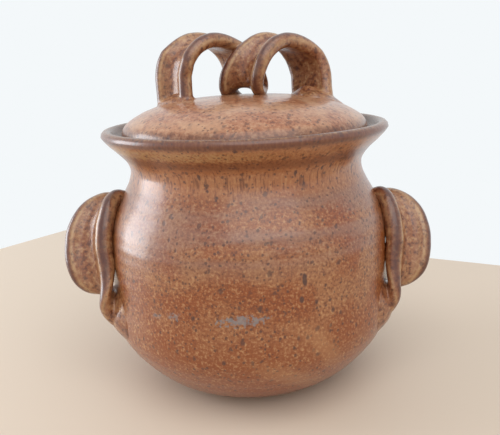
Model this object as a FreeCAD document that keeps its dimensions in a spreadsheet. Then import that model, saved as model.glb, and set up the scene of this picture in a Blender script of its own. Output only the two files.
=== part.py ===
"""Stoneware bean pot with two pulled side lugs and a loose lid with a coiled strap handle.

Millimetres, +Z up. The origin is the centre of the flat foot, and the pot stands on Z = 0.
+X runs through the right lug as a user facing the pot sees it, and -Y is the user's side.
"""
import FreeCAD
import Part
import math
import os
import Sketcher
from FreeCAD import Placement, Vector

doc = FreeCAD.newDocument("BeanPot")
sheet = doc.addObject("Spreadsheet::Sheet", "Sizes")

# Thrown wall: control points of the outer curve from the foot up to the lip
POT_SIZES = [
    ("foot_radius", 55.0), ("foot_bevel", 1.0),
    ("heel_radius", 71.0), ("heel_height", 7.5),
    ("flank_radius", 86.5), ("flank_height", 22.5),
    ("low_belly_radius", 101.5), ("low_belly_height", 44.0),
    ("belly_radius", 99.3), ("belly_height", 70.0),
    ("high_belly_radius", 99.1), ("high_belly_height", 97.0),
    ("shoulder_radius", 96.8), ("shoulder_height", 126.0),
    ("neck_inset", 27.4), ("neck_drop", 20.4),
    ("flare_inset", 4.0), ("flare_drop", 7.4),
    ("rim_radius", 98.0), ("rim_height", 177.4),
    ("wall", 7.5), ("floor_thickness", 9.0), ("floor_radius", 42.0),
    ("neck_inner_share", 0.7), ("low_belly_inner_share", 0.3), ("flank_inner_share", 0.7),
    ("lip_thickness", 7.6), ("seat_run", 14.9), ("seat_drop", 19.4),
]

# Lid: a domed cap whose bevelled edge rests in the flare of the neck
LID_SIZES = [
    ("lid_rise", 22.8), ("lid_flat_inset", 51.5),
    ("lid_bend_inset", 22.5), ("lid_bend_drop", 4.5),
    ("lid_turn_inset", 6.5), ("lid_turn_drop", 13.5),
    ("lid_edge_inset", 5.9), ("lid_edge_drop", 25.5), ("lid_edge_round", 7.0),
    ("lid_wall", 7.0), ("lid_foot_width", 4.0), ("lid_seat_depth", 5.0), ("seat_gap", 0.3),
]

# Channelled straps: a rolled bead along each edge with a hollow between them
STRAP_SIZES = [
    ("hollow_angle", 30.0), ("inner_hollow_angle", 8.0),
    ("coil_width", 33.0), ("coil_bead", 9.3), ("coil_bead_swell", 0.7),
    ("coil_pitch", 49.0), ("coil_swing", 9.0), ("coil_half_depth", 14.0),
    ("coil_half_height", 16.2), ("coil_lift", 1.2), ("coil_start_x", 45.0),
    ("coil_start_y", 2.0), ("coil_advance_y", 6.0), ("coil_fall", 2.2),
    ("coil_turn", 42.0), ("coil_turn_sway", 12.0), ("coil_bank", 0.08),
    ("coil_leg_blend", 10.0), ("coil_foot_sink", 7.0),
    ("coil_right_foot_x", 1.0), ("coil_right_foot_y", 8.0),
    ("lug_bead", 10.6), ("lug_tail_bead", 7.5), ("lug_right_top_drop", 6.0),
    ("lug_right_tail_drop", 0.5), ("lug_front_right_inset", 1.0),
    ("lug_back_right_inset", 1.6),
]

# Edge paths of one lug strap: angle from the side axis towards the user, height, and the
# distance from the wall's outer face to the middle of the edge bead
LUG_FRONT_EDGE = [
    (4.5, 128.0, -12.0), (11.0, 134.0, 6.0), (17.0, 122.0, 7.6), (20.7, 100.0, 7.6),
    (22.9, 80.0, 7.4), (23.7, 65.0, 4.0), (24.3, 47.0, -9.5),
]
LUG_BACK_EDGE = [
    (-4.0, 122.0, -13.0), (2.6, 131.5, 14.0), (8.6, 122.5, 23.0), (13.0, 104.5, 24.8),
    (15.8, 90.0, 21.4), (17.6, 79.0, 10.5), (19.8, 66.0, -10.0),
]

# Pads of clay that join the straps: half lengths of each, along its strap, across it and deep
PAD_SIZES = [
    ("tail_pad_length", 14.0), ("tail_pad_width", 14.0), ("tail_pad_depth", 3.4),
    ("tail_pad_angle", 22.0), ("tail_pad_height", 57.0),
    ("top_pad_length", 9.0), ("top_pad_width", 16.0), ("top_pad_depth", 3.2),
    ("top_pad_angle", 1.0), ("top_pad_height", 124.0),
    ("left_pad_length", 18.5), ("left_pad_width", 9.0), ("left_pad_depth", 3.2),
    ("right_pad_length", 17.5), ("right_pad_width", 15.0), ("right_pad_depth", 3.6),
    ("right_pad_forward", 2.5),
    ("wad_length", 7.5), ("wad_width", 6.0), ("wad_depth", 4.5),
]

# How finely the straps are drawn: the coil's last turn and its step in degrees, the shares of
# a leg at which a leg has a section, and the sections along a lug
LAST_TURN = 540.0
TURN_STEP = 30.0
LEG_SHARES = (1.0, 0.72, 0.46, 0.22)
LUG_STEPS = 20

# How finely a direction is sampled, in degrees or millimetres, and how often a search halves
NUDGE = 0.5
HALVINGS = 40


def fill_sheet(groups):
    """Write each named size into the sheet, a name in column A and its value in column B."""
    row = 1
    for title, sizes in groups:
        sheet.set("A%d" % row, title)
        row += 1
        for name, value in sizes:
            sheet.set("A%d" % row, name)
            sheet.set("B%d" % row, repr(value))
            sheet.setAlias("B%d" % row, name)
            row += 1
    doc.recompute()


def edge_sizes(prefix, stations):
    """Give the stations of a lug edge their own names in the sheet."""
    sizes = []
    for number, (angle, height, standoff) in enumerate(stations, start=1):
        sizes.append(("%s_angle_%d" % (prefix, number), angle))
        sizes.append(("%s_height_%d" % (prefix, number), height))
        sizes.append(("%s_standoff_%d" % (prefix, number), standoff))
    return sizes


def size(name):
    """Read one named size."""
    return float(sheet.get(name))


def origin_plane(body, role):
    """Find one of a body's own origin planes."""
    for feature in body.Origin.OriginFeatures:
        if feature.Role == role:
            return feature
    raise ValueError(role)


class Outline:
    """A closed outline in a body's XZ plane, bound corner by corner to the sheet."""

    def __init__(self, body, name):
        self.sketch = body.newObject("Sketcher::SketchObject", name)
        self.sketch.AttachmentSupport = (origin_plane(body, "XZ_Plane"), [""])
        self.sketch.MapMode = "FlatFace"
        self.edges = []

    def place(self, corner):
        """Work out where a corner given as two expressions lies."""
        across, up = (float(self.sketch.evalExpression(text)) for text in corner)
        return Vector(across, up, 0)

    def bind(self, geometry, spot, corner):
        """Hold a point of the sketch at a corner's two expressions."""
        for kind, axis, text in (("DistanceX", -2, corner[0]), ("DistanceY", -1, corner[1])):
            value = float(self.sketch.evalExpression(text))
            if text == "0":
                self.sketch.addConstraint(Sketcher.Constraint("PointOnObject", geometry, spot, axis))
            else:
                index = self.sketch.addConstraint(Sketcher.Constraint(kind, geometry, spot, value))
                self.sketch.setExpression("Constraints[%d]" % index, text)

    def line(self, start, end):
        """Add a straight edge."""
        edge = self.sketch.addGeometry(Part.LineSegment(self.place(start), self.place(end)), False)
        self.edges.append((edge, 1, 2, start))

    def half_round(self, start, end):
        """Add a half circle that bulges upwards, from its outer to its inner end."""
        first, last = self.place(start), self.place(end)
        middle = (first + last) * 0.5
        circle = Part.Circle(middle, Vector(0, 0, 1), (first - last).Length / 2)
        edge = self.sketch.addGeometry(Part.ArcOfCircle(circle, 0.0, math.pi), False)
        index = self.sketch.addConstraint(Sketcher.Constraint("DistanceY", edge, 3, middle.y))
        self.sketch.setExpression("Constraints[%d]" % index, start[1])
        self.edges.append((edge, 1, 2, start))

    def curve(self, corners):
        """Add a smooth curve drawn by its control points, the first and last on the curve."""
        poles = [self.place(corner) for corner in corners]
        spline = Part.BSplineCurve()
        spline.buildFromPoles(poles, False, 3)
        edge = self.sketch.addGeometry(spline, False)
        first_ring = None
        for number, corner in enumerate(corners):
            ring = self.sketch.addGeometry(Part.Circle(poles[number], Vector(0, 0, 1), 1), True)
            self.sketch.addConstraint(Sketcher.Constraint(
                "InternalAlignment:Sketcher::BSplineControlPoint", ring, 3, edge, number))
            if first_ring is None:
                first_ring = ring
                self.sketch.addConstraint(Sketcher.Constraint("Weight", ring, 1.0))
            else:
                self.sketch.addConstraint(Sketcher.Constraint("Equal", first_ring, ring))
            if 0 < number < len(corners) - 1:
                self.bind(ring, 3, corner)
        self.edges.append((edge, 1, 2, corners[0]))

    def close(self):
        """Join the edges end to start and hold each start at its corner."""
        for number, (edge, start_spot, end_spot, corner) in enumerate(self.edges):
            following = self.edges[(number + 1) % len(self.edges)]
            self.sketch.addConstraint(Sketcher.Constraint(
                "Coincident", edge, end_spot, following[0], following[1]))
            self.bind(edge, start_spot, corner)
        return self.sketch


def revolve(body, outline):
    """Turn a closed outline once round the pot's axis."""
    turned = body.newObject("PartDesign::Revolution", body.Name + "Turned")
    turned.Profile = outline
    turned.ReferenceAxis = (outline, ["V_Axis"])
    turned.Angle = 360.0
    body.Tip = turned
    return body


OUTER_WALL = [
    ("Sizes.foot_radius", "Sizes.foot_bevel"),
    ("Sizes.heel_radius", "Sizes.heel_height"),
    ("Sizes.flank_radius", "Sizes.flank_height"),
    ("Sizes.low_belly_radius", "Sizes.low_belly_height"),
    ("Sizes.belly_radius", "Sizes.belly_height"),
    ("Sizes.high_belly_radius", "Sizes.high_belly_height"),
    ("Sizes.shoulder_radius", "Sizes.shoulder_height"),
    ("Sizes.rim_radius - Sizes.neck_inset", "Sizes.rim_height - Sizes.neck_drop"),
    ("Sizes.rim_radius - Sizes.flare_inset", "Sizes.rim_height - Sizes.flare_drop"),
    ("Sizes.rim_radius", "Sizes.rim_height"),
]

# The inner wall follows the outer one, a wall's thickness inside it. Where the wall leans,
# its control points also shift along the axis by a share of that thickness
SEAT_SLOPE = "(Sizes.seat_run / Sizes.seat_drop)"
SEAT_TOP = ("Sizes.rim_radius - Sizes.lip_thickness", "Sizes.rim_height")
SEAT_LOW = (SEAT_TOP[0] + " - Sizes.seat_run", "Sizes.rim_height - Sizes.seat_drop")
INNER_WALL = [
    SEAT_LOW,
    (SEAT_LOW[0] + " - Sizes.neck_inner_share * Sizes.wall * " + SEAT_SLOPE,
     SEAT_LOW[1] + " - Sizes.neck_inner_share * Sizes.wall"),
    ("Sizes.shoulder_radius - Sizes.wall", "Sizes.shoulder_height"),
    ("Sizes.high_belly_radius - Sizes.wall", "Sizes.high_belly_height"),
    ("Sizes.belly_radius - Sizes.wall", "Sizes.belly_height"),
    ("Sizes.low_belly_radius - Sizes.wall",
     "Sizes.low_belly_height + Sizes.low_belly_inner_share * Sizes.wall"),
    ("Sizes.flank_radius - Sizes.wall",
     "Sizes.flank_height + Sizes.flank_inner_share * Sizes.wall"),
    ("Sizes.heel_radius - Sizes.wall", "Sizes.floor_thickness"),
    ("Sizes.floor_radius", "Sizes.floor_thickness"),
]


def make_pot_body():
    """The thrown pot: flat foot, full belly, narrow neck and flared, rounded lip."""
    body = doc.addObject("PartDesign::Body", "PotBody")
    outline = Outline(body, "PotWall")
    foot_flat = ("Sizes.foot_radius - Sizes.foot_bevel", "0")
    outline.line(("0", "0"), foot_flat)
    outline.line(foot_flat, OUTER_WALL[0])
    outline.curve(OUTER_WALL)
    outline.half_round(OUTER_WALL[-1], SEAT_TOP)
    outline.line(SEAT_TOP, SEAT_LOW)
    outline.curve(INNER_WALL)
    outline.line(INNER_WALL[-1], ("0", "Sizes.floor_thickness"))
    outline.line(("0", "Sizes.floor_thickness"), ("0", "0"))
    return revolve(body, outline.close())


def make_pot_form():
    """The pot as if it were solid clay, for trimming what is pressed onto its outside."""
    body = doc.addObject("PartDesign::Body", "PotForm")
    outline = Outline(body, "PotFormOutline")
    foot_flat = ("Sizes.foot_radius - Sizes.foot_bevel", "0")
    outline.line(("0", "0"), foot_flat)
    outline.line(foot_flat, OUTER_WALL[0])
    outline.curve(OUTER_WALL)
    outline.line(OUTER_WALL[-1], ("0", "Sizes.rim_height"))
    outline.line(("0", "Sizes.rim_height"), ("0", "0"))
    return revolve(body, outline.close())


# The lid's edge lies a little inside the lip, and its dome is measured in from that edge
LID_TOP = "Sizes.rim_height + Sizes.lid_rise"
LID_EDGE = SEAT_TOP[0] + " - Sizes.lid_edge_inset"
LID_BEND = LID_EDGE + " - Sizes.lid_bend_inset"
LID_DOME = [
    ("0", LID_TOP),
    (LID_EDGE + " - Sizes.lid_flat_inset", LID_TOP),
    (LID_BEND, LID_TOP + " - Sizes.lid_bend_drop"),
    (LID_EDGE + " - Sizes.lid_turn_inset", LID_TOP + " - Sizes.lid_turn_drop"),
    (LID_EDGE, LID_TOP + " - Sizes.lid_edge_drop + Sizes.lid_edge_round"),
    (LID_EDGE, LID_TOP + " - Sizes.lid_edge_drop"),
]

# The lid's bevel runs parallel to the flare, with the seat gap measured square to both
SEAT_GAP_ACROSS = "Sizes.seat_gap * sqrt(1 + " + SEAT_SLOPE + "^2)"
BEVEL_TOP = (LID_EDGE, "Sizes.rim_height - (Sizes.lid_edge_inset - " + SEAT_GAP_ACROSS
             + ") / " + SEAT_SLOPE)
BEVEL_LOW = (LID_EDGE + " - Sizes.lid_seat_depth",
             BEVEL_TOP[1] + " - Sizes.lid_seat_depth / " + SEAT_SLOPE)
LID_FOOT = (BEVEL_LOW[0] + " - Sizes.lid_foot_width", BEVEL_LOW[1])
LID_HOLLOW = [
    LID_FOOT,
    (LID_FOOT[0], LID_DOME[4][1]),
    (LID_BEND + " - Sizes.lid_wall", LID_DOME[2][1] + " - Sizes.lid_wall"),
    (LID_DOME[1][0], LID_TOP + " - Sizes.lid_wall"),
    ("0", LID_TOP + " - Sizes.lid_wall"),
]


def make_lid_shell():
    """The domed lid, hollow underneath, with its bevelled edge."""
    body = doc.addObject("PartDesign::Body", "LidShell")
    outline = Outline(body, "LidWall")
    outline.curve(LID_DOME)
    outline.line(LID_DOME[-1], BEVEL_TOP)
    outline.line(BEVEL_TOP, BEVEL_LOW)
    outline.line(BEVEL_LOW, LID_FOOT)
    outline.curve(LID_HOLLOW)
    outline.line(LID_HOLLOW[-1], LID_DOME[0])
    return revolve(body, outline.close())


def make_lid_form():
    """The lid as if it were solid, for trimming what is pressed onto its top."""
    body = doc.addObject("PartDesign::Body", "LidForm")
    outline = Outline(body, "LidFormOutline")
    outline.curve(LID_DOME)
    outline.line(LID_DOME[-1], BEVEL_TOP)
    outline.line(BEVEL_TOP, ("0", BEVEL_TOP[1]))
    outline.line(("0", BEVEL_TOP[1]), LID_DOME[0])
    return revolve(body, outline.close())


def curve_from(corners):
    """Build a wall or dome curve from the sheet, in the XZ plane."""
    poles = [Vector(sheet.evalExpression(across), 0, sheet.evalExpression(up))
             for across, up in corners]
    spline = Part.BSplineCurve()
    spline.buildFromPoles(poles, False, 3)
    return spline


def lid_top():
    """Height of the middle of the lid's dome."""
    return size("rim_height") + size("lid_rise")


def follow(curve, measure, goal):
    """The point of a curve at which a coordinate that only grows along it reaches a goal."""
    low, high = curve.FirstParameter, curve.LastParameter
    for _ in range(HALVINGS):
        middle = (low + high) / 2
        if measure(curve.value(middle)) < goal:
            low = middle
        else:
            high = middle
    return curve.value(low)


def wall_radius(height):
    """Outer radius of the pot at a height."""
    return follow(curve_from(OUTER_WALL), lambda point: point.z, height).x


def dome_height(radius):
    """Height of the lid's top face at a radius."""
    return follow(curve_from(LID_DOME), lambda point: point.x, radius).z


def strap_section(middle, across, outward, width, bead):
    """A strap's section: a bead on each edge, a deep hollow outside and a shallow one inside."""
    radius = bead / 2.0
    reach = width / 2.0 - radius
    outer = math.radians(90.0 + size("hollow_angle"))
    inner = math.radians(90.0 + size("inner_hollow_angle"))

    def spot(side, angle):
        """A point on the bead at one side, the angle measured from straight out sideways."""
        return (side * (reach + radius * math.cos(angle)), radius * math.sin(angle))

    def hollow(angle, sign):
        """The middle of the hollow arc that leaves both beads smoothly."""
        half = reach + radius * math.cos(angle)
        lean = angle - math.pi / 2
        depth = half * (1 - math.cos(lean)) / math.sin(lean)
        return (0.0, sign * (radius * math.sin(angle) - depth))

    loop = [
        spot(1, outer), spot(1, outer / 2), spot(1, 0.0), spot(1, -inner / 2), spot(1, -inner),
        hollow(inner, -1),
        spot(-1, -inner), spot(-1, -inner / 2), spot(-1, 0.0), spot(-1, outer / 2), spot(-1, outer),
        hollow(outer, 1),
    ]
    points = [middle + across * u + outward * v for u, v in loop]
    points.append(points[0])
    arcs = [Part.Arc(points[n], points[n + 1], points[n + 2]).toShape()
            for n in range(0, len(points) - 2, 2)]
    return Part.Wire(arcs)


def unit(vector):
    """A vector's direction."""
    return vector * (1.0 / vector.Length)


def strap_frame(along, across_hint):
    """Directions across a strap and out of its hollow face."""
    along = unit(along)
    across = unit(across_hint - along * across_hint.dot(along))
    return across, across.cross(along)


def coil_station(turn):
    """Middle of the coiled strap and its width's hint at a turn in degrees, 0 to LAST_TURN.

    Each turn climbs on the user's side, runs back over the top to the right, and comes down
    behind. Past either end the strap drops straight into the lid.
    """
    held = min(max(turn, 0.0), LAST_TURN)
    angle = math.radians(held)
    part = held / 360.0
    beyond = max(-turn, turn - LAST_TURN, 0.0)
    climb = size("coil_half_height")
    height = lid_top() + size("coil_lift") + size("coil_bead") / 2 + climb
    middle = Vector(
        -size("coil_start_x") + size("coil_swing") * (1 - math.cos(angle))
        + size("coil_pitch") * part,
        size("coil_start_y") + size("coil_half_depth") * (1 - math.cos(angle))
        - size("coil_advance_y") * part,
        height + climb * math.sin(angle) - size("coil_fall") * part)
    if beyond > 0.0:
        blend = size("coil_leg_blend")
        side = -1.0 if turn < 0.0 else 1.0
        slope = size("coil_pitch") / (2 * math.pi * climb)
        drift = slope * blend / 2 * (1 - (1 - min(beyond / blend, 1.0)) ** 2)
        middle += Vector(side * drift, 0, -beyond)
        if side > 0:
            share = (beyond / coil_leg_length()) ** 1.5
            middle += Vector(size("coil_right_foot_x"), -size("coil_right_foot_y"), 0) * share
    arched = max(math.sin(angle), 0.0)
    heading = math.radians(size("coil_turn") + size("coil_turn_sway") * arched ** 1.5)
    hint = Vector(math.cos(heading), -math.sin(heading), -size("coil_bank") * math.sin(angle))
    return middle, hint


def coil_leg_length():
    """How far the strap's ends drop below the coil's middle, to sink into the lid."""
    foot_radius = size("coil_start_x") + size("coil_width") / 2
    height = lid_top() + size("coil_lift") + size("coil_bead") / 2
    return height + size("coil_half_height") - dome_height(foot_radius) + size("coil_foot_sink") / 2


def coil_section(turn):
    """The coiled strap's section at a turn."""
    middle, hint = coil_station(turn)
    along = coil_station(turn + NUDGE)[0] - coil_station(turn - NUDGE)[0]
    across, outward = strap_frame(along, hint)
    held = math.radians(min(max(turn, 0.0), LAST_TURN))
    bead = size("coil_bead") + size("coil_bead_swell") * math.sin(held)
    return strap_section(middle, across, outward, size("coil_width"), bead)


def make_coil_strap(lid_form):
    """The channelled strap wound twice across the lid, trimmed to the dome."""
    leg = coil_leg_length()
    drops = [leg * share for share in LEG_SHARES]
    turns = [-drop for drop in drops]
    turns += [TURN_STEP * number for number in range(int(LAST_TURN / TURN_STEP) + 1)]
    turns += [LAST_TURN + drop for drop in reversed(drops)]
    whole = doc.addObject("Part::Feature", "CoilWhole")
    whole.Shape = Part.makeLoft([coil_section(turn) for turn in turns], True, False)
    whole.Placement = Placement()
    strap = doc.addObject("Part::Cut", "CoilStrap")
    strap.Base = whole
    strap.Tool = lid_form
    return strap


def right_lug_drop(part):
    """How much lower the right lug sits than the left one, from 0 at its top to 1 at its tail."""
    top, tail = size("lug_right_top_drop"), size("lug_right_tail_drop")
    return top + (tail - top) * part


def lug_edge(prefix, count, side):
    """Points along one edge bead of a lug, from its top end down to its tail."""
    points = []
    for number in range(1, count + 1):
        angle = math.radians(size("%s_angle_%d" % (prefix, number)))
        height = size("%s_height_%d" % (prefix, number))
        standoff = size("%s_standoff_%d" % (prefix, number))
        if side > 0:
            height -= right_lug_drop((number - 1) / (count - 1))
            standoff -= size(prefix + "_right_inset")
        radius = wall_radius(height) + standoff
        points.append(Vector(side * radius * math.cos(angle), -radius * math.sin(angle), height))
    return points


def make_lug_strap(side, name, pot_form):
    """One channelled side lug, swept down and towards the user, trimmed to the wall."""
    front = lug_edge("lug_front", len(LUG_FRONT_EDGE), side)
    back = lug_edge("lug_back", len(LUG_BACK_EDGE), side)
    lines = []
    for points in (front, back):
        line = Part.BSplineCurve()
        line.interpolate(points, False)
        lines.append(line)
    middles = []
    acrosses = []
    for number in range(LUG_STEPS + 1):
        spots = [line.value(line.FirstParameter
                            + (line.LastParameter - line.FirstParameter) * number / LUG_STEPS)
                 for line in lines]
        middles.append((spots[0] + spots[1]) * 0.5)
        acrosses.append(spots[0] - spots[1])
    sections = []
    for number, middle in enumerate(middles):
        along = middles[min(number + 1, LUG_STEPS)] - middles[max(number - 1, 0)]
        part = number / LUG_STEPS
        bead = size("lug_bead") + (size("lug_tail_bead") - size("lug_bead")) * part ** 3
        across, outward = strap_frame(along, acrosses[number])
        outward = outward * side
        width = acrosses[number].Length + bead
        sections.append(strap_section(middle, across, outward, width, bead))
    whole = doc.addObject("Part::Feature", name + "Whole")
    whole.Shape = Part.makeLoft(sections, True, False)
    whole.Placement = Placement()
    strap = doc.addObject("Part::Cut", name)
    strap.Base = whole
    strap.Tool = pot_form
    return strap


def make_pad(name, centre, long_way, out_way, sizes, form, strap):
    """A pressed pad of clay: half of an ellipsoid on the wall, with its strap's room cut out."""
    lump = doc.addObject("Part::Ellipsoid", name + "Lump")
    for prop, text in zip(("Radius3", "Radius2", "Radius1"), sizes):
        lump.setExpression(prop, text)
    lump.Angle1 = -90
    lump.Angle2 = 90
    out_way = unit(out_way)
    long_way = unit(long_way - out_way * long_way.dot(out_way))
    side_way = out_way.cross(long_way)
    turn = FreeCAD.Rotation(side_way, long_way, out_way, "ZXY")
    lump.Placement = Placement(centre, turn)
    seated = doc.addObject("Part::Cut", name + "Seated")
    seated.Base = lump
    seated.Tool = form
    pad = doc.addObject("Part::Cut", name)
    pad.Base = seated
    pad.Tool = strap
    return pad


def wall_spot(side, angle, height):
    """A point on the pot's outer face and the direction square to the face there."""
    radius = wall_radius(height)
    lean = (wall_radius(height + NUDGE) - wall_radius(height - NUDGE)) / (2 * NUDGE)
    away = Vector(side * math.cos(angle), -math.sin(angle), 0)
    return away * radius + Vector(0, 0, height), unit(away - Vector(0, 0, lean))


def make_lug_pad(side, kind, name, strap, pot_form):
    """The pad at one end of a lug, top or tail."""
    height = size(kind + "_pad_height")
    if side > 0:
        height -= right_lug_drop(0.0 if kind == "top" else 1.0)
    centre, out_way = wall_spot(side, math.radians(size(kind + "_pad_angle")), height)
    sizes = ["Sizes.%s_pad_%s" % (kind, word) for word in ("length", "width", "depth")]
    return make_pad(name, centre, Vector(0, 0, 1), out_way, sizes, pot_form, strap)


def make_coil_pad(turn, kind, name, forward, strap, lid_form):
    """The pad where an end of the coiled strap is pressed onto the lid."""
    middle, hint = coil_station(turn)
    long_way = unit(Vector(hint.x, hint.y, 0))
    spot = Vector(middle.x, middle.y, 0) + long_way * forward
    height = dome_height(spot.Length)
    rise = dome_height(spot.Length + NUDGE) - dome_height(spot.Length - NUDGE)
    lean = rise / (2 * NUDGE)
    out_way = Vector(0, 0, 1) - unit(spot) * lean
    centre = Vector(spot.x, spot.y, height)
    sizes = ["Sizes.%s_pad_%s" % (kind, word) for word in ("length", "width", "depth")]
    return make_pad(name, centre, long_way, out_way, sizes, lid_form, strap)


def make_middle_wad(strap, lid_form):
    """The wad under the back bead where the strap's middle turn comes down on the dome."""
    lowest = LAST_TURN / 2
    middle, hint = coil_station(lowest)
    along = coil_station(lowest + NUDGE)[0] - coil_station(lowest - NUDGE)[0]
    across = strap_frame(along, hint)[0]
    spot = middle - across * (size("coil_width") - size("coil_bead")) / 2
    centre = Vector(spot.x, spot.y, dome_height(math.hypot(spot.x, spot.y)))
    sizes = ["Sizes.wad_length", "Sizes.wad_width", "Sizes.wad_depth"]
    return make_pad("CoilMiddleWad", centre, along, Vector(0, 0, 1), sizes, lid_form, strap)


def build():
    """Make every piece and return them by the name of its file."""
    fill_sheet([
        ("Pot wall", POT_SIZES), ("Lid", LID_SIZES), ("Straps", STRAP_SIZES),
        ("Front edge of a lug", edge_sizes("lug_front", LUG_FRONT_EDGE)),
        ("Back edge of a lug", edge_sizes("lug_back", LUG_BACK_EDGE)), ("Pads", PAD_SIZES),
    ])
    pieces = {"pot_body": make_pot_body(), "lid_shell": make_lid_shell()}
    pot_form = make_pot_form()
    lid_form = make_lid_form()
    doc.recompute()
    for side, word in ((-1, "left"), (1, "right")):
        title = word.capitalize()
        strap = make_lug_strap(side, "Lug%sStrap" % title, pot_form)
        pieces["lug_%s_strap" % word] = strap
        pieces["lug_%s_top_wad" % word] = make_lug_pad(
            side, "top", "Lug%sTopWad" % title, strap, pot_form)
        pieces["lug_%s_tail_pad" % word] = make_lug_pad(
            side, "tail", "Lug%sTailPad" % title, strap, pot_form)
    coil = make_coil_strap(lid_form)
    pieces["lid_coil_strap"] = coil
    leg = coil_leg_length()
    pieces["coil_left_pad"] = make_coil_pad(-leg, "left", "CoilLeftPad", 0.0, coil, lid_form)
    pieces["coil_right_pad"] = make_coil_pad(
        LAST_TURN + leg, "right", "CoilRightPad", size("right_pad_forward"), coil, lid_form)
    pieces["coil_middle_wad"] = make_middle_wad(coil, lid_form)
    for name, piece in pieces.items():
        piece.Label = name
    doc.recompute()
    return pieces


def check(pieces):
    """Stop on any object that failed or any piece that isn't one sound solid."""
    for item in doc.Objects:
        if "Invalid" in item.State or "Error" in item.State:
            raise RuntimeError("%s failed: %s" % (item.Label, item.State))
    for name, piece in pieces.items():
        shape = piece.Shape
        if shape.isNull() or not shape.isValid() or not shape.Solids:
            raise RuntimeError("%s has no sound solid" % name)
        box = shape.BoundBox
        print("%-20s solids %d volume %9.1f  x %7.1f %7.1f  y %7.1f %7.1f  z %6.1f %6.1f" % (
            name, len(shape.Solids), shape.Volume,
            box.XMin, box.XMax, box.YMin, box.YMax, box.ZMin, box.ZMax))


def write(pieces):
    """Write one file for each piece."""
    os.makedirs("parts", exist_ok=True)
    for name, piece in pieces.items():
        piece.Shape.exportStep("parts/%s.step" % name)


pot_pieces = build()
check(pot_pieces)
write(pot_pieces)
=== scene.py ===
"""Finished look of the stoneware bean pot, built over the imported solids.

Metres, +Z up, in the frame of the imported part. The origin is the centre of the pot's foot,
+X runs through the right lug and -Y is the user's side.
"""

import logging
import math
from dataclasses import dataclass, replace
from enum import Enum
from typing import Any, Callable, Sequence

import bpy
import numpy as np
from mathutils import Matrix, Vector, noise
from mathutils.kdtree import KDTree


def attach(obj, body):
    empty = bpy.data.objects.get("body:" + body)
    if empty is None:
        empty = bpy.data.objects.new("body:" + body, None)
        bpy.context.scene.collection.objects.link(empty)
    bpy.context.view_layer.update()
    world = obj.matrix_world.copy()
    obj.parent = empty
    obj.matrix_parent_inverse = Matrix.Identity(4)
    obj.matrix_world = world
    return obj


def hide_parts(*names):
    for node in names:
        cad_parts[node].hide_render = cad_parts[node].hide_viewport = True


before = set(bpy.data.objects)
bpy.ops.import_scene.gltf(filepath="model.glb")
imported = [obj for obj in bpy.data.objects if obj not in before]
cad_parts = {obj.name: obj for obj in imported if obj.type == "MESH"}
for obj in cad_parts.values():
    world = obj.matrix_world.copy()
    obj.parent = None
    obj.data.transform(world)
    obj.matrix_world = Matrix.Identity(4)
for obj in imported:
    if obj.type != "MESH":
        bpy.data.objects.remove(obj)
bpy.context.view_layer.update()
LOG = logging.getLogger("bean_pot")

Pair = tuple[float, float]
Triple = tuple[float, float, float]
Colour = Triple


class Body(Enum):
    """The two bodies that the pieces ride on."""

    POT = "pot"
    LID = "lid"


class Slot(Enum):
    """The record's material slots."""

    POT = "pot_glaze"
    STRAP = "strap_glaze"
    LID = "lid_glaze"


def linear(colour: Colour) -> tuple[float, float, float, float]:
    """Turn a colour as a screen shows it, 0 to 255, into the shader's own scale."""
    parts = [channel / 255.0 for channel in colour]
    shares = (p / 12.92 if p <= 0.04045 else ((p + 0.055) / 1.055) ** 2.4 for p in parts)
    return (*shares, 1.0)


def smoothstep(low: float, high: float, value: np.ndarray) -> np.ndarray:
    """A soft step from 0 at low to 1 at high."""
    part = np.clip((value - low) / (high - low), 0.0, 1.0)
    return part * part * (3.0 - 2.0 * part)


def clamped_spline(corners: Sequence[Pair], count: int) -> np.ndarray:
    """Points along a cubic curve drawn by its control points.

    Args:
        corners: Control points as (across, up). The curve starts and ends on the end ones.
        count: How many points to return.

    Returns:
        An array of count points.
    """
    degree = 3
    poles = np.array(corners, float)
    inner = np.linspace(0.0, 1.0, len(poles) - degree + 1)
    knots = np.concatenate([np.zeros(degree), inner, np.ones(degree)])
    where = np.linspace(0.0, 1.0 - 1e-9, count)
    basis = [np.where((where >= knots[n]) & (where < knots[n + 1]), 1.0, 0.0)
             for n in range(len(knots) - 1)]
    for order in range(1, degree + 1):
        raised = []
        for n in range(len(knots) - order - 1):
            total = np.zeros(count)
            if knots[n + order] > knots[n]:
                total += (where - knots[n]) / (knots[n + order] - knots[n]) * basis[n]
            if knots[n + order + 1] > knots[n + 1]:
                rest = knots[n + order + 1] - knots[n + 1]
                total += (knots[n + order + 1] - where) / rest * basis[n + 1]
            raised.append(total)
        basis = raised
    return np.array(basis).T @ poles


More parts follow.
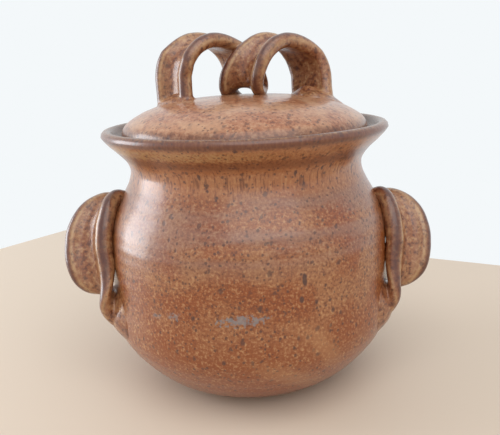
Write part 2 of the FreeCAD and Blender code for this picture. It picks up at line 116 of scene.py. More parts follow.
def smooth_line(stations: Sequence[Vector], count: int) -> list[Vector]:
    """A smooth line through stations, evenly spread by the chords between them.

    Args:
        stations: The points that the line passes through.
        count: How many points to return.

    Returns:
        The points of the natural cubic line.
    """
    points = np.array([tuple(spot) for spot in stations])
    chords = np.linalg.norm(np.diff(points, axis=0), axis=1)
    ticks = np.concatenate([[0.0], np.cumsum(chords)])
    size = len(points)
    system = np.eye(size)
    right = np.zeros((size, 3))
    for n in range(1, size - 1):
        system[n, n - 1:n + 2] = (chords[n - 1], 2 * (chords[n - 1] + chords[n]), chords[n])
        right[n] = 6 * ((points[n + 1] - points[n]) / chords[n]
                        - (points[n] - points[n - 1]) / chords[n - 1])
    bend = np.linalg.solve(system, right)
    line = []
    for tick in np.linspace(0.0, ticks[-1], count):
        n = min(int(np.searchsorted(ticks, tick, side="right")) - 1, size - 2)
        before, after, chord = tick - ticks[n], ticks[n + 1] - tick, chords[n]
        spot = (bend[n] * after ** 3 + bend[n + 1] * before ** 3) / (6 * chord)
        spot = spot + (points[n] / chord - bend[n] * chord / 6) * after
        spot = spot + (points[n + 1] / chord - bend[n + 1] * chord / 6) * before
        line.append(Vector(spot))
    return line


def make_object(name: str, mesh: bpy.types.Mesh) -> bpy.types.Object:
    """Put a mesh into the scene as an object at the origin."""
    thing = bpy.data.objects.new(name, mesh)
    bpy.context.scene.collection.objects.link(thing)
    return thing


def evaluated_mesh(thing: bpy.types.Object) -> bpy.types.Mesh:
    """The plain mesh that an object's modifiers give."""
    graph = bpy.context.evaluated_depsgraph_get()
    return bpy.data.meshes.new_from_object(
        thing.evaluated_get(graph), preserve_all_data_layers=True, depsgraph=graph)


def mesh_points(mesh: bpy.types.Mesh) -> np.ndarray:
    """A mesh's vertex places as an array."""
    flat = np.zeros(len(mesh.vertices) * 3)
    mesh.vertices.foreach_get("co", flat)
    return flat.reshape(-1, 3)


def mesh_normals(mesh: bpy.types.Mesh) -> np.ndarray:
    """A mesh's vertex normals as an array."""
    flat = np.zeros(len(mesh.vertices) * 3)
    mesh.vertex_normals.foreach_get("vector", flat)
    return flat.reshape(-1, 3)


def store_number(mesh: bpy.types.Mesh, name: str, values: np.ndarray) -> None:
    """Keep one number for each vertex under a name that the finishes read."""
    layer = mesh.attributes.new(name, "FLOAT", "POINT")
    layer.data.foreach_set("value", np.ascontiguousarray(values, np.float32))


def store_triple(mesh: bpy.types.Mesh, name: str, values: np.ndarray) -> None:
    """Keep three numbers for each vertex under a name."""
    layer = mesh.attributes.new(name, "FLOAT_VECTOR", "POINT")
    layer.data.foreach_set("vector", np.ascontiguousarray(values, np.float32).ravel())


def set_points(mesh: bpy.types.Mesh, points: np.ndarray) -> None:
    """Move a mesh's vertices."""
    mesh.vertices.foreach_set("co", np.ascontiguousarray(points, np.float32).ravel())
    mesh.update()


def wander(point: Sequence[float], wavelength: float, seed: float) -> float:
    """Soft unevenness between about -1 and 1, the same in every run."""
    spot = Vector(point) / wavelength
    return noise.noise(spot + Vector((seed, seed * 1.7, seed * 0.6)))


@dataclass(frozen=True)
class Ground:
    """A turned surface that clay is pressed onto: its half outline and which way it faces."""

    line: np.ndarray
    by_height: bool

    def spot(self, point: Sequence[float]) -> tuple[Vector, Vector]:
        """Find the place of the surface next to a point.

        Args:
            point: A point near the surface.

        Returns:
            The place on the surface and the direction straight out of it.
        """
        x, y, z = point
        away = max(math.hypot(x, y), 1e-6)
        nudge = 0.0004
        if self.by_height:
            radii, heights = self.line[:, 0], self.line[:, 1]
            radius = float(np.interp(z, heights, radii))
            lean = float(np.interp(z + nudge, heights, radii)
                         - np.interp(z - nudge, heights, radii))
            out = Vector((x / away, y / away, -lean / (2 * nudge))).normalized()
            return Vector((x / away * radius, y / away * radius, z)), out
        height = float(np.interp(away, self.line[:, 0], self.line[:, 1]))
        lean = float(np.interp(away + nudge, self.line[:, 0], self.line[:, 1])
                     - np.interp(max(away - nudge, 0.0), self.line[:, 0], self.line[:, 1]))
        out = Vector((-lean / (2 * nudge) * x / away,
                      -lean / (2 * nudge) * y / away, 1.0)).normalized()
        return Vector((x, y, height)), out

    def distances(self, points: np.ndarray) -> tuple[np.ndarray, list[Vector], list[Vector]]:
        """Measure how far points stand off the surface.

        Args:
            points: The points, one in each row.

        Returns:
            For each point its distance, the place on the surface next to it and the direction
            straight out of the surface there.
        """
        spots, outs, gaps = [], [], []
        for point in points:
            place, out = self.spot(point)
            spots.append(place)
            outs.append(out)
            gaps.append((Vector(point) - place).dot(out))
        return np.array(gaps), spots, outs


@dataclass(frozen=True)
class Throwing:
    """The rings and the slow unevenness that the potter's fingers leave in a wall.

    The rings are one slow spiral. They sway a little and are stronger in some patches, never
    weaker than patch_least. Lengths are in metres and seeds move the patterns.
    """

    pitch: float
    depth: float
    sway_seed: float
    patch_base: float
    patch_swing: float
    patch_least: float
    patch_length: float
    patch_seed: float
    soft_depth: float
    soft_length: float
    soft_seed: float
    sway: float = 1.5
    sway_length: float = 0.05

    def pressed(self, angle: float, radius: float, height: float, along: float) -> float:
        """Find how deep the surface is pressed in at one place.

        Args:
            angle: The place's angle round the axis.
            radius: Its distance from the axis.
            height: Its height.
            along: How far it lies along the way that the rings follow each other.

        Returns:
            The depth.
        """
        spot = (radius * math.cos(angle), radius * math.sin(angle), height)
        climb = along + self.pitch * angle / (2 * math.pi)
        sway = self.sway * wander(spot, self.sway_length, self.sway_seed)
        wave = 0.5 + 0.5 * math.cos(2 * math.pi * climb / self.pitch + sway)
        patch = wander(spot, self.patch_length, self.patch_seed)
        strength = max(self.patch_base + self.patch_swing * patch, self.patch_least)
        soft = 0.5 + 0.5 * wander(spot, self.soft_length, self.soft_seed)
        return self.depth * wave * strength + self.soft_depth * soft


@dataclass
class Turned:
    """A piece thrown on the wheel, turned from its closed half outline."""

    name: str
    around: int = 224
    step: float = 0.0019
    curve_points: int = 900
    liner_depth: Pair = (0.003, 0.0055)
    liner_fade: float = 0.004

    def spread(self, runs: Sequence[np.ndarray]) -> np.ndarray:
        """Join the runs of an outline and space its points evenly along each run.

        Args:
            runs: The runs in order, each starting where the one before it ends.

        Returns:
            The points of the whole outline.
        """
        spaced = []
        for run in runs:
            chords = np.linalg.norm(np.diff(run, axis=0), axis=1)
            lengths = np.concatenate([[0.0], np.cumsum(chords)])
            count = max(int(lengths[-1] / self.step), 1)
            ticks = np.linspace(0.0, lengths[-1], count + 1)[:-1]
            spaced.append(np.stack([np.interp(ticks, lengths, run[:, n]) for n in (0, 1)], axis=1))
        spaced.append(runs[-1][-1:])
        return np.concatenate(spaced)

    def turn(self, outline: np.ndarray,
             shape: Callable[[float, float, float], float]) -> bpy.types.Mesh:
        """Turn an outline round the axis and press the marks of throwing into it.

        Args:
            outline: Points from the axis round to the axis again, walls anticlockwise.
            shape: Gives how deep the surface is pressed in, from the angle, the radius and
                the height of a place.

        Returns:
            The closed mesh.
        """
        along = np.gradient(outline, axis=0)
        along /= np.maximum(np.linalg.norm(along, axis=1), 1e-9)[:, None]
        outward = np.stack([along[:, 1], -along[:, 0]], axis=1)
        vertices: list[Triple] = [(0.0, 0.0, float(outline[0, 1]))]
        for index in range(1, len(outline) - 1):
            radius, height = outline[index]
            for turn in range(self.around):
                angle = 2 * math.pi * turn / self.around
                depth = shape(angle, radius, height)
                reach = radius - outward[index, 0] * depth
                vertices.append((reach * math.cos(angle), reach * math.sin(angle),
                                 height - outward[index, 1] * depth))
        vertices.append((0.0, 0.0, float(outline[-1, 1])))
        rings = len(outline) - 2
        last = len(vertices) - 1
        faces: list[tuple[int, ...]] = []
        for turn in range(self.around):
            after = (turn + 1) % self.around
            faces.append((0, 1 + after, 1 + turn))
            for ring in range(rings - 1):
                low = 1 + ring * self.around
                high = low + self.around
                faces.append((low + turn, low + after, high + after, high + turn))
            top = 1 + (rings - 1) * self.around
            faces.append((top + turn, top + after, last))
        mesh = bpy.data.meshes.new(self.name)
        mesh.from_pydata(vertices, [], faces)
        mesh.polygons.foreach_set("use_smooth", [True] * len(mesh.polygons))
        mesh.update()
        return mesh

    def mark_inside(self, mesh: bpy.types.Mesh, depth: np.ndarray, room: np.ndarray) -> None:
        """Store which vertices the liner covers.

        Args:
            mesh: The piece's mesh.
            depth: How far each vertex lies behind the outer surface.
            room: How far each vertex lies past the place where the liner begins.
        """
        covered = smoothstep(*self.liner_depth, depth) * smoothstep(0.0, self.liner_fade, room)
        store_number(mesh, "inside", covered)


@dataclass
class Pot(Turned):
    """The thrown pot: flat foot, full belly, narrow neck and flared, rounded lip."""

    name: str = "PotBody"
    foot_radius: float = 0.055
    foot_bevel: float = 0.001
    heel: Pair = (0.071, 0.0075)
    flank: Pair = (0.0865, 0.0225)
    low_belly: Pair = (0.1015, 0.044)
    belly: Pair = (0.0993, 0.070)
    high_belly: Pair = (0.0991, 0.097)
    shoulder: Pair = (0.0968, 0.126)
    neck_inset: float = 0.0274
    neck_drop: float = 0.0204
    flare_inset: float = 0.004
    flare_drop: float = 0.0074
    rim_radius: float = 0.098
    rim_height: float = 0.1774
    wall: float = 0.0075
    floor_thickness: float = 0.009
    floor_radius: float = 0.042
    lip_thickness: float = 0.0076
    seat_run: float = 0.0149
    seat_drop: float = 0.0194
    sunk_share: float = 0.7
    low_belly_share: float = 0.3
    inner_points: int = 700
    lip_points: int = 25
    plain_foot: float = 0.006
    plain_lip: float = 0.002
    ring_fade: float = 0.02
    liner_low: float = 0.004
    throwing: Throwing = Throwing(
        pitch=0.0078, depth=0.00038, sway_seed=3.0, patch_base=0.45, patch_swing=0.55,
        patch_least=0.1, patch_length=0.035, patch_seed=7.0, soft_depth=0.0004,
        soft_length=0.06, soft_seed=11.0)

    def outer_corners(self) -> list[Pair]:
        """Find the control points of the outer wall.

        Returns:
            The points from the foot up to the lip.
        """
        return [
            (self.foot_radius, self.foot_bevel), self.heel, self.flank, self.low_belly,
            self.belly, self.high_belly, self.shoulder,
            (self.rim_radius - self.neck_inset, self.rim_height - self.neck_drop),
            (self.rim_radius - self.flare_inset, self.rim_height - self.flare_drop),
            (self.rim_radius, self.rim_height),
        ]

    def seat_top(self) -> Pair:
        """The inner corner of the lip."""
        return (self.rim_radius - self.lip_thickness, self.rim_height)

    def seat_low(self) -> Pair:
        """The low end of the flare that the lid rests in."""
        top = self.seat_top()
        return (top[0] - self.seat_run, top[1] - self.seat_drop)

    def inner_corners(self) -> list[Pair]:
        """Find the control points of the inner wall.

        Returns:
            The points from the seat down to the floor.
        """
        low = self.seat_low()
        sunk = self.sunk_share * self.wall
        return [
            low, (low[0] - sunk * self.seat_run / self.seat_drop, low[1] - sunk),
            (self.shoulder[0] - self.wall, self.shoulder[1]),
            (self.high_belly[0] - self.wall, self.high_belly[1]),
            (self.belly[0] - self.wall, self.belly[1]),
            (self.low_belly[0] - self.wall, self.low_belly[1] + self.low_belly_share * self.wall),
            (self.flank[0] - self.wall, self.flank[1] + sunk),
            (self.heel[0] - self.wall, self.floor_thickness),
            (self.floor_radius, self.floor_thickness),
        ]

    def ground(self) -> Ground:
        """The outer wall as something to press clay onto."""
        return Ground(clamped_spline(self.outer_corners(), self.curve_points), True)

    def outline(self) -> np.ndarray:
        """Draw the closed half outline.

        Returns:
            Evenly spaced points from the foot's middle up, over the lip and down to the floor.
        """
        lip_middle = self.rim_radius - self.lip_thickness / 2
        turns = np.linspace(0.0, math.pi, self.lip_points)
        lip = np.stack([lip_middle + self.lip_thickness / 2 * np.cos(turns),
                        self.rim_height + self.lip_thickness / 2 * np.sin(turns)], axis=1)
        outer = clamped_spline(self.outer_corners(), self.curve_points)
        inner = clamped_spline(self.inner_corners(), self.inner_points)
        return self.spread([
            np.array([(0.0, 0.0), (self.foot_radius - self.foot_bevel, 0.0)]),
            np.array([(self.foot_radius - self.foot_bevel, 0.0), outer[0]]),
            outer, lip, np.array([self.seat_top(), self.seat_low()]), inner,
            np.array([inner[-1], (0.0, self.floor_thickness)]),
        ])

    def pressed(self, angle: float, radius: float, height: float) -> float:
        """Depth of the throwing rings, which climb the wall and fade at the foot and the lip.

        Args:
            angle: A place's angle round the axis.
            radius: Its distance from the axis.
            height: Its height.

        Returns:
            The depth.
        """
        if height < self.plain_foot or height > self.rim_height - self.plain_lip:
            return 0.0
        fade = min(1.0, (height - self.plain_foot) / self.ring_fade)
        fade *= min(1.0, (self.rim_height - height) / self.ring_fade)
        return fade * self.throwing.pressed(angle, radius, height, height)

    def build(self) -> bpy.types.Object:
        """Make the pot's mesh, with its inside marked for the liner.

        Returns:
            The pot.
        """
        mesh = self.turn(self.outline(), self.pressed)
        points = mesh_points(mesh)
        wall = self.ground().line
        away = np.hypot(points[:, 0], points[:, 1])
        outside = np.interp(points[:, 2], wall[:, 1], wall[:, 0])
        self.mark_inside(mesh, outside - away, points[:, 2] - self.liner_low)
        return make_object(self.name, mesh)


@dataclass
class Lid(Turned):
    """The loose domed lid, hollow underneath, with its bevelled edge."""

    name: str = "LidShell"
    rise: float = 0.0228
    edge_inset: float = 0.0059
    flat_inset: float = 0.0515
    bend_inset: float = 0.0225
    bend_drop: float = 0.0045
    turn_inset: float = 0.0065
    turn_drop: float = 0.0135
    edge_drop: float = 0.0255
    edge_round: float = 0.007
    wall: float = 0.007
    foot_width: float = 0.004
    seat_depth: float = 0.005
    seat_gap: float = 0.0003
    face_points: int = 500
    middle_fade: float = 0.02
    ring_limit: float = 0.082
    ring_fade: float = 0.012
    liner_limit: float = 0.081
    throwing: Throwing = Throwing(
        pitch=0.0085, depth=0.00022, sway_seed=5.0, patch_base=0.4, patch_swing=0.6,
        patch_least=0.05, patch_length=0.03, patch_seed=9.0, soft_depth=0.0005,
        soft_length=0.045, soft_seed=13.0)

    def top(self, pot: Pot) -> float:
        """Height of the middle of the dome."""
        return pot.rim_height + self.rise

    def edge(self, pot: Pot) -> float:
        """Radius of the lid's edge."""
        return pot.seat_top()[0] - self.edge_inset

    def dome_corners(self, pot: Pot) -> list[Pair]:
        """Find the control points of the dome.

        Args:
            pot: The pot whose seat the lid rests in.

        Returns:
            The points from the dome's middle out to its edge.
        """
        edge, top = self.edge(pot), self.top(pot)
        return [
            (0.0, top), (edge - self.flat_inset, top),
            (edge - self.bend_inset, top - self.bend_drop),
            (edge - self.turn_inset, top - self.turn_drop),
            (edge, top - self.edge_drop + self.edge_round), (edge, top - self.edge_drop),
        ]

    def ground(self, pot: Pot) -> Ground:
        """The dome as something to press clay onto."""
        return Ground(clamped_spline(self.dome_corners(pot), self.curve_points), False)

    def outline(self, pot: Pot) -> np.ndarray:
        """Draw the closed half outline.

        Args:
            pot: The pot whose seat the lid rests in.

        Returns:
            Evenly spaced points from the hollow round to the dome's middle.
        """
        edge, top = self.edge(pot), self.top(pot)
        slope = pot.seat_run / pot.seat_drop
        gap = self.seat_gap * math.hypot(1.0, slope)
        bevel_top = (edge, pot.rim_height - (self.edge_inset - gap) / slope)
        bevel_low = (edge - self.seat_depth, bevel_top[1] - self.seat_depth / slope)
        foot = (bevel_low[0] - self.foot_width, bevel_low[1])
        hollow = [
            foot, (foot[0], top - self.edge_drop + self.edge_round),
            (edge - self.bend_inset - self.wall, top - self.bend_drop - self.wall),
            (edge - self.flat_inset, top - self.wall), (0.0, top - self.wall),
        ]
        return self.spread([
            clamped_spline(hollow, self.face_points)[::-1], np.array([foot, bevel_low]),
            np.array([bevel_low, bevel_top]), np.array([bevel_top, (edge, top - self.edge_drop)]),
            clamped_spline(self.dome_corners(pot), self.face_points)[::-1],
        ])

    def pressed(self, angle: float, radius: float, height: float) -> float:
        """Depth of the faint rings on the dome, which fade at its middle and its edge.

        Args:
            angle: A place's angle round the axis.
            radius: Its distance from the axis.
            height: Its height.

        Returns:
            The depth.
        """
        fade = min(1.0, radius / self.middle_fade)
        fade *= min(1.0, max(self.ring_limit - radius, 0.0) / self.ring_fade)
        return fade * self.throwing.pressed(angle, radius, height, radius)

    def build(self, pot: Pot) -> bpy.types.Object:
        """Make the lid's mesh, with its underside marked for the liner.

        Args:
            pot: The pot whose seat the lid rests in.

        Returns:
            The lid without its handle.
        """
        mesh = self.turn(self.outline(pot), self.pressed)
        points = mesh_points(mesh)
        dome = self.ground(pot).line
        away = np.hypot(points[:, 0], points[:, 1])
        surface = np.interp(away, dome[:, 0], dome[:, 1])
        self.mark_inside(mesh, surface - points[:, 2], self.liner_limit - away)
        return make_object(self.name, mesh)


class Socket:
    """A number or a direction in a node tree, with arithmetic that adds the nodes it needs."""

    def __init__(self, sketch: "Sketch", socket: bpy.types.NodeSocket) -> None:
        """Wrap one output socket."""
        self.sketch = sketch
        self.socket = socket

    @property
    def is_vector(self) -> bool:
        """Whether the socket carries a direction or a place."""
        return self.socket.type == "VECTOR"

    def combine(self, operation: str, *others: Any, turned: bool = False) -> "Socket":
        """Add a Math or Vector Math node for this value and others.

        Args:
            operation: The node's operation.
            others: Numbers or sockets that go into its further inputs.
            turned: Whether this value comes second.

        Returns:
            The node's result.
        """
        values = [self, *others]
        if turned:
            values = [*others, self]
        vectors = any(isinstance(value, Socket) and value.is_vector for value in values)
        kind = "ShaderNodeVectorMath" if vectors else "ShaderNodeMath"
        made = self.sketch.node(kind, {"operation": operation}, dict(enumerate(values)))
        return Socket(self.sketch, self.sketch.open_socket(made.outputs))

    def __add__(self, other: Any) -> "Socket":
        """Sum."""
        return self.combine("ADD", other)

    def __radd__(self, other: Any) -> "Socket":
        """Sum with a number first."""
        return self.combine("ADD", other)

    def __sub__(self, other: Any) -> "Socket":
        """Difference."""
        return self.combine("SUBTRACT", other)

    def __rsub__(self, other: Any) -> "Socket":
        """Difference from a number."""
        return self.combine("SUBTRACT", other, turned=True)

    def __mul__(self, other: Any) -> "Socket":
        """Product, in which a number scales a direction.

        Args:
            other: A number or a socket.

        Returns:
            The product.
        """
        if self.is_vector and not (isinstance(other, Socket) and other.is_vector):
            made = self.sketch.node("ShaderNodeVectorMath", {"operation": "SCALE"},
                                    {0: self, "Scale": other})
            return Socket(self.sketch, made.outputs[0])
        return self.combine("MULTIPLY", other)

    def __rmul__(self, other: Any) -> "Socket":
        """Product with a number first."""
        return self.combine("MULTIPLY", other)

    def __truediv__(self, other: Any) -> "Socket":
        """Quotient."""
        return self.combine("DIVIDE", other)

    def root(self) -> "Socket":
        """Square root."""
        return self.combine("SQRT")

    def most(self, other: Any) -> "Socket":
        """The larger of two values."""
        return self.combine("MAXIMUM", other)

    def unit(self) -> "Socket":
        """A direction of length one."""
        return self.combine("NORMALIZE")

    def dot(self, other: Any) -> "Socket":
        """How far two directions agree."""
        return self.combine("DOT_PRODUCT", other)

    def cross(self, other: "Socket") -> "Socket":
        """The direction square to two others."""
        return self.combine("CROSS_PRODUCT", other)

    def length(self) -> "Socket":
        """Length of a direction."""
        return self.combine("LENGTH")

    def step(self, low: float, high: float) -> "Socket":
        """Add a soft step, either way round.

        Args:
            low: The value at which the step gives 0.
            high: The value at which it gives 1.

        Returns:
            The step.
        """
        made = self.sketch.node(
            "ShaderNodeMapRange", {"interpolation_type": "SMOOTHSTEP"},
            {"Value": self, "From Min": min(low, high), "From Max": max(low, high),
             "To Min": 0.0 if low < high else 1.0, "To Max": 1.0 if low < high else 0.0})
        return Socket(self.sketch, made.outputs["Result"])


class Sketch:
    """Adds nodes to one tree. Every node comes from its node method."""

    def __init__(self, tree: bpy.types.NodeTree) -> None:
        """Start on a tree."""
        self.tree = tree

    @staticmethod
    def open_socket(sockets: Any, name: str | int = 0) -> bpy.types.NodeSocket:
        """The socket in use among those that share a name, or the first in use."""
        if isinstance(name, str):
            return next(s for s in sockets if s.enabled and name in (s.name, s.identifier))
        return [s for s in sockets if s.enabled][name]

    def node(self, kind: str, settings: dict[str, Any] | None = None,
             values: dict[str | int, Any] | None = None) -> bpy.types.Node:
        """Add a node.

        Args:
            kind: The node's type.
            settings: Its own properties, set first.
            values: What goes into its sockets, by name or number: a Socket or a plain value.

        Returns:
            The node.
        """
        made = self.tree.nodes.new(kind)
        for name, value in (settings or {}).items():
            setattr(made, name, value)
        for name, value in (values or {}).items():
            entry = self.open_socket(made.inputs, name)
            if isinstance(value, Socket):
                self.tree.links.new(value.socket, entry)
            elif value is not None:
                entry.default_value = value
        return made

    def out(self, made: bpy.types.Node, name: str | int = 0) -> Socket:
        """One of a node's results."""
        return Socket(self, self.open_socket(made.outputs, name))

    def stored(self, name: str) -> Socket:
        """A number that the mesh stores for each vertex, read by a finish."""
        return self.out(self.node("ShaderNodeAttribute", {"attribute_name": name}), "Fac")

    def blend(self, under: Socket | Sequence[float], over: Socket | Sequence[float],
              share: Socket | float) -> Socket:
        """Lay one colour over another.

        Args:
            under: The colour below.
            over: The colour on top.
            share: How much of the top colour shows, from 0 to 1.

        Returns:
            The mixed colour.
        """
        made = self.node("ShaderNodeMix", {"data_type": "RGBA"},
                         {"Factor": share, "A": under, "B": over})
        return self.out(made, "Result")


@dataclass(frozen=True)
class Mark:
    """One mark of its own on the glaze, as an ellipse on the wall."""

    angle: float
    height: float
    radius: float
    half_width: float
    half_height: float
    tilt: float = 0.0
    ragged: float = 0.35
    strength: float = 0.8
    soft: float = 0.22


@dataclass(frozen=True)
class Zones:
    """Where each zone of the glaze starts to show and where it shows in full.

    All are heights, apart from ochre_side, which is measured across, and lid_edge, a radius.
    """

    # Where the low belly is laid warmer and darker, partly as painted shade.
    low_belly: Pair = (0.088, 0.040)
    belt_bottom: Pair = (0.094, 0.118)
    belt_top: Pair = (0.150, 0.140)
    neck: Pair = (0.141, 0.151)
    drips_bottom: Pair = (0.146, 0.152)
    drips_top: Pair = (0.168, 0.160)
    # The band under the lip: painted shadow of the lip with the glaze's dark line.
    lip_shadow_line_bottom: Pair = (0.1605, 0.1635)
    lip_shadow_line_top: Pair = (0.170, 0.1655)
    ochre_bottom: Pair = (0.1665, 0.1695)
    ochre_top: Pair = (0.1755, 0.172)
    ochre_side: Pair = (0.03, -0.03)
    lip: Pair = (0.1735, 0.1765)
    crest: Pair = (0.1795, 0.1808)
    bare_foot: Pair = (0.0036, 0.0024)
    lid_edge: Pair = (0.0800, 0.0838)
    edge_ragged: float = 0.006
    liner_share: float = 0.85


@dataclass(frozen=True)
class Glaze:
    """The iron-speckled stoneware glaze. Colours are as a screen shows them, 0 to 255."""

    name: str
    body: Colour = (150, 96, 57)
    # For the pot this orange is darkened, partly as painted shade on the low belly.
    warm: Colour = (134, 64, 12)
    pale: Colour = (190, 142, 96)
    # Also laid as painted shade in the band under the lip and, in part, on the straps' crests.
    deep: Colour = (97, 48, 24)
    iron: Colour = (68, 38, 32)
    liner: Colour = (96, 62, 38)
    bare: Colour = (176, 132, 96)
    # Also laid partly as painted highlight on the lip's crest and beside the straps' crests.
    ochre: Colour = (176, 138, 92)
    flushed: Colour = (172, 112, 70)
    mauve: Colour = (134, 102, 88)
    slate: Colour = (124, 122, 124)
    roughness: float = 0.40
    uneven: float = 0.10
    coat: float = 0.72
    coat_roughness: float = 0.22
    specular: float = 0.40
    grain_depth: float = 0.0004
    grain_strength: float = 0.55
    mottle: float = 1.0
    mottle_scale: float = 560.0
    small_specks: float = 0.72
    large_specks: float = 0.66
    pot_zones: bool = False
    lid_zones: bool = False
    strap_zones: bool = False
    dark_marks: tuple[Mark, ...] = ()
    slate_marks: tuple[Mark, ...] = ()
    pale_marks: tuple[Mark, ...] = ()


class GlazeFinish:
    """Turns a glaze into a material on object coordinates."""

    zones = Zones()
    mark_reach: Pair = (0.05, 0.04)

    def __init__(self, glaze: Glaze) -> None:
        """Start the material's tree.

        Args:
            glaze: The glaze that the material shows.
        """
        self.glaze = glaze
        self.material = bpy.data.materials.new(glaze.name)
        self.material.use_nodes = True
        self.material.node_tree.nodes.clear()
        self.sketch = Sketch(self.material.node_tree)
        place = self.sketch.node("ShaderNodeTexCoord")
        self.place = self.sketch.out(place, "Object")
        split = self.sketch.node("ShaderNodeSeparateXYZ", {}, {"Vector": self.place})
        self.across, self.back, self.height = (self.sketch.out(split, n) for n in ("X", "Y", "Z"))
        self.radius = (self.across * self.across + self.back * self.back).root()

    def cloud(self, scale: float, detail: float = 3.0, roughness: float = 0.55,
              stretch: Triple = (1.0, 1.0, 1.0), seed: float = 0.0) -> Socket:
        """Soft noise between 0 and 1.

        Args:
            scale: Lumps per metre.
            detail: Octaves.
            roughness: How strong the fine octaves are.
            stretch: Scales of the three axes, under 1 for lumps drawn out along that axis.
            seed: Moves the pattern.

        Returns:
            The noise.
        """
        spot = self.sketch.node("ShaderNodeMapping", {}, {
            "Vector": self.place, "Location": (seed, seed * 0.7, seed * 1.3), "Scale": stretch})
        made = self.sketch.node("ShaderNodeTexNoise", {}, {
            "Vector": self.sketch.out(spot), "Scale": scale, "Detail": detail,
            "Roughness": roughness})
        return self.sketch.out(made, "Fac")

    def specks(self, scale: float, least: float, most: float, density: float,
               stretch: Triple = (1.0, 1.0, 1.0), seed: float = 0.0) -> Socket:
        """Scattered round specks.

        Args:
            scale: Cells per metre.
            least: Radius of the smallest speck as a share of a cell.
            most: Radius of the largest.
            density: Share of the cells that hold a speck.
            stretch: Scales of the three axes.
            seed: Moves the pattern.

        Returns:
            1 inside a speck and 0 outside.
        """
        drift = self.cloud(scale * 1.7, 2.0, 0.6, seed=seed + 3.0) - 0.5
        shifted = self.place + self.as_direction(drift * (0.5 / scale))
        spot = self.sketch.node("ShaderNodeMapping", {}, {
            "Vector": shifted, "Location": (seed, seed * 1.1, seed * 0.4), "Scale": stretch})
        cell = self.sketch.node("ShaderNodeTexVoronoi", {}, {
            "Vector": self.sketch.out(spot), "Scale": scale})
        draw = self.sketch.node("ShaderNodeSeparateColor", {}, {
            "Color": self.sketch.out(cell, "Color")})
        size = self.sketch.out(draw, "Red") * (most - least) + least
        held = self.sketch.out(draw, "Green").step(density + 0.001, density)
        inside = (self.sketch.out(cell, "Distance") / size).step(1.1, 0.65)
        return inside * held

    def as_direction(self, value: Socket) -> Socket:
        """The same number along all three axes."""
        made = self.sketch.node("ShaderNodeCombineXYZ", {}, {"X": value, "Y": value, "Z": value})
        return self.sketch.out(made)

    def mark(self, mark: Mark, rough: Socket) -> Socket:
        """Find where one mark lies.

        Args:
            mark: The mark.
            rough: The noise that makes its edge ragged.

        Returns:
            0 outside the mark, up to its strength inside.
        """
        angle = math.radians(mark.angle)
        middle = Vector((
            mark.radius * math.cos(angle), -mark.radius * math.sin(angle), mark.height))
        sideways = Vector((math.sin(angle), math.cos(angle), 0.0))
        lean = math.radians(mark.tilt)
        upright = Vector((0.0, 0.0, 1.0))
        long_way = sideways * math.cos(lean) + upright * math.sin(lean)
        short_way = upright * math.cos(lean) - sideways * math.sin(lean)
        offset = self.place - tuple(middle)
        wide = offset.dot(tuple(long_way)) / mark.half_width
        tall = offset.dot(tuple(short_way)) / mark.half_height
        near = (wide * wide + tall * tall).root() + (rough - 0.5) * (mark.ragged * 4)
        facing = offset.length().step(*self.mark_reach)
        return near.step(1 + mark.soft, 1 - mark.soft) * facing * mark.strength

    def lay(self, colour: Socket | Sequence[float], over: Colour, share: Socket) -> Socket:
        """Lay a plain colour over the glaze's colour."""
        return self.sketch.blend(colour, linear(over), share)

    def marks(self, colour: Socket, marks: Sequence[Mark], over: Colour, rough: Socket) -> Socket:
        """Lay a group of marks over a colour.

        Args:
            colour: The colour below.
            marks: The marks.
            over: The colour of the marks.
            rough: The noise that makes their edges ragged.

        Returns:
            The colour with its marks.
        """
        for mark in marks:
            colour = self.lay(colour, over, self.mark(mark, rough))
        return colour

    def ground_colour(self) -> tuple[Socket, Socket, Socket]:
        """Mix the glaze's own colour.

        Returns:
            The mottled colour, the broad noise and the fine noise that other layers use.
        """
        glaze = self.glaze
        broad = self.cloud(38.0, 3.0)
        fine = self.cloud(glaze.mottle_scale, 5.0, 0.68, seed=2.0)
        colour = self.lay(linear(glaze.body), glaze.warm, broad.step(0.35, 0.65))
        colour = self.lay(colour, glaze.pale, fine.step(0.50, 0.66) * (0.62 * glaze.mottle))
        colour = self.lay(colour, glaze.deep, fine.step(0.49, 0.37) * (0.78 * glaze.mottle))
        return colour, broad, fine

    def belly_zones(self, colour: Socket, fine: Socket) -> Socket:
        """Warm and darken the low belly, partly its orange glaze and partly painted shade towards
        the bottom, and stain the belt at the shoulder.

        Args:
            colour: The glaze's mottled colour.
            fine: The fine noise of its mottling.

        Returns:
            The colour with both zones.
        """
        zones, height = self.zones, self.height
        bands = self.cloud(120.0, 3.0, 0.5, (0.12, 0.12, 1.0), 5.0)
        patches = self.cloud(70.0, 3.0, 0.6, (0.6, 0.6, 1.4), 6.0)
        # Low belly: partly the glaze's deeper orange, partly painted shade that darkens it towards
        # the bottom.
        low = height.step(*zones.low_belly)
        colour = self.lay(colour, self.glaze.warm, low * fine.step(0.64, 0.46) * 0.85)
        belt = height.step(*zones.belt_bottom) * height.step(*zones.belt_top)
        stain = belt * (bands * 0.5 + patches * 0.2 + fine * 0.3).step(0.42, 0.56)
        return self.lay(colour, self.glaze.mauve, stain * 0.5)

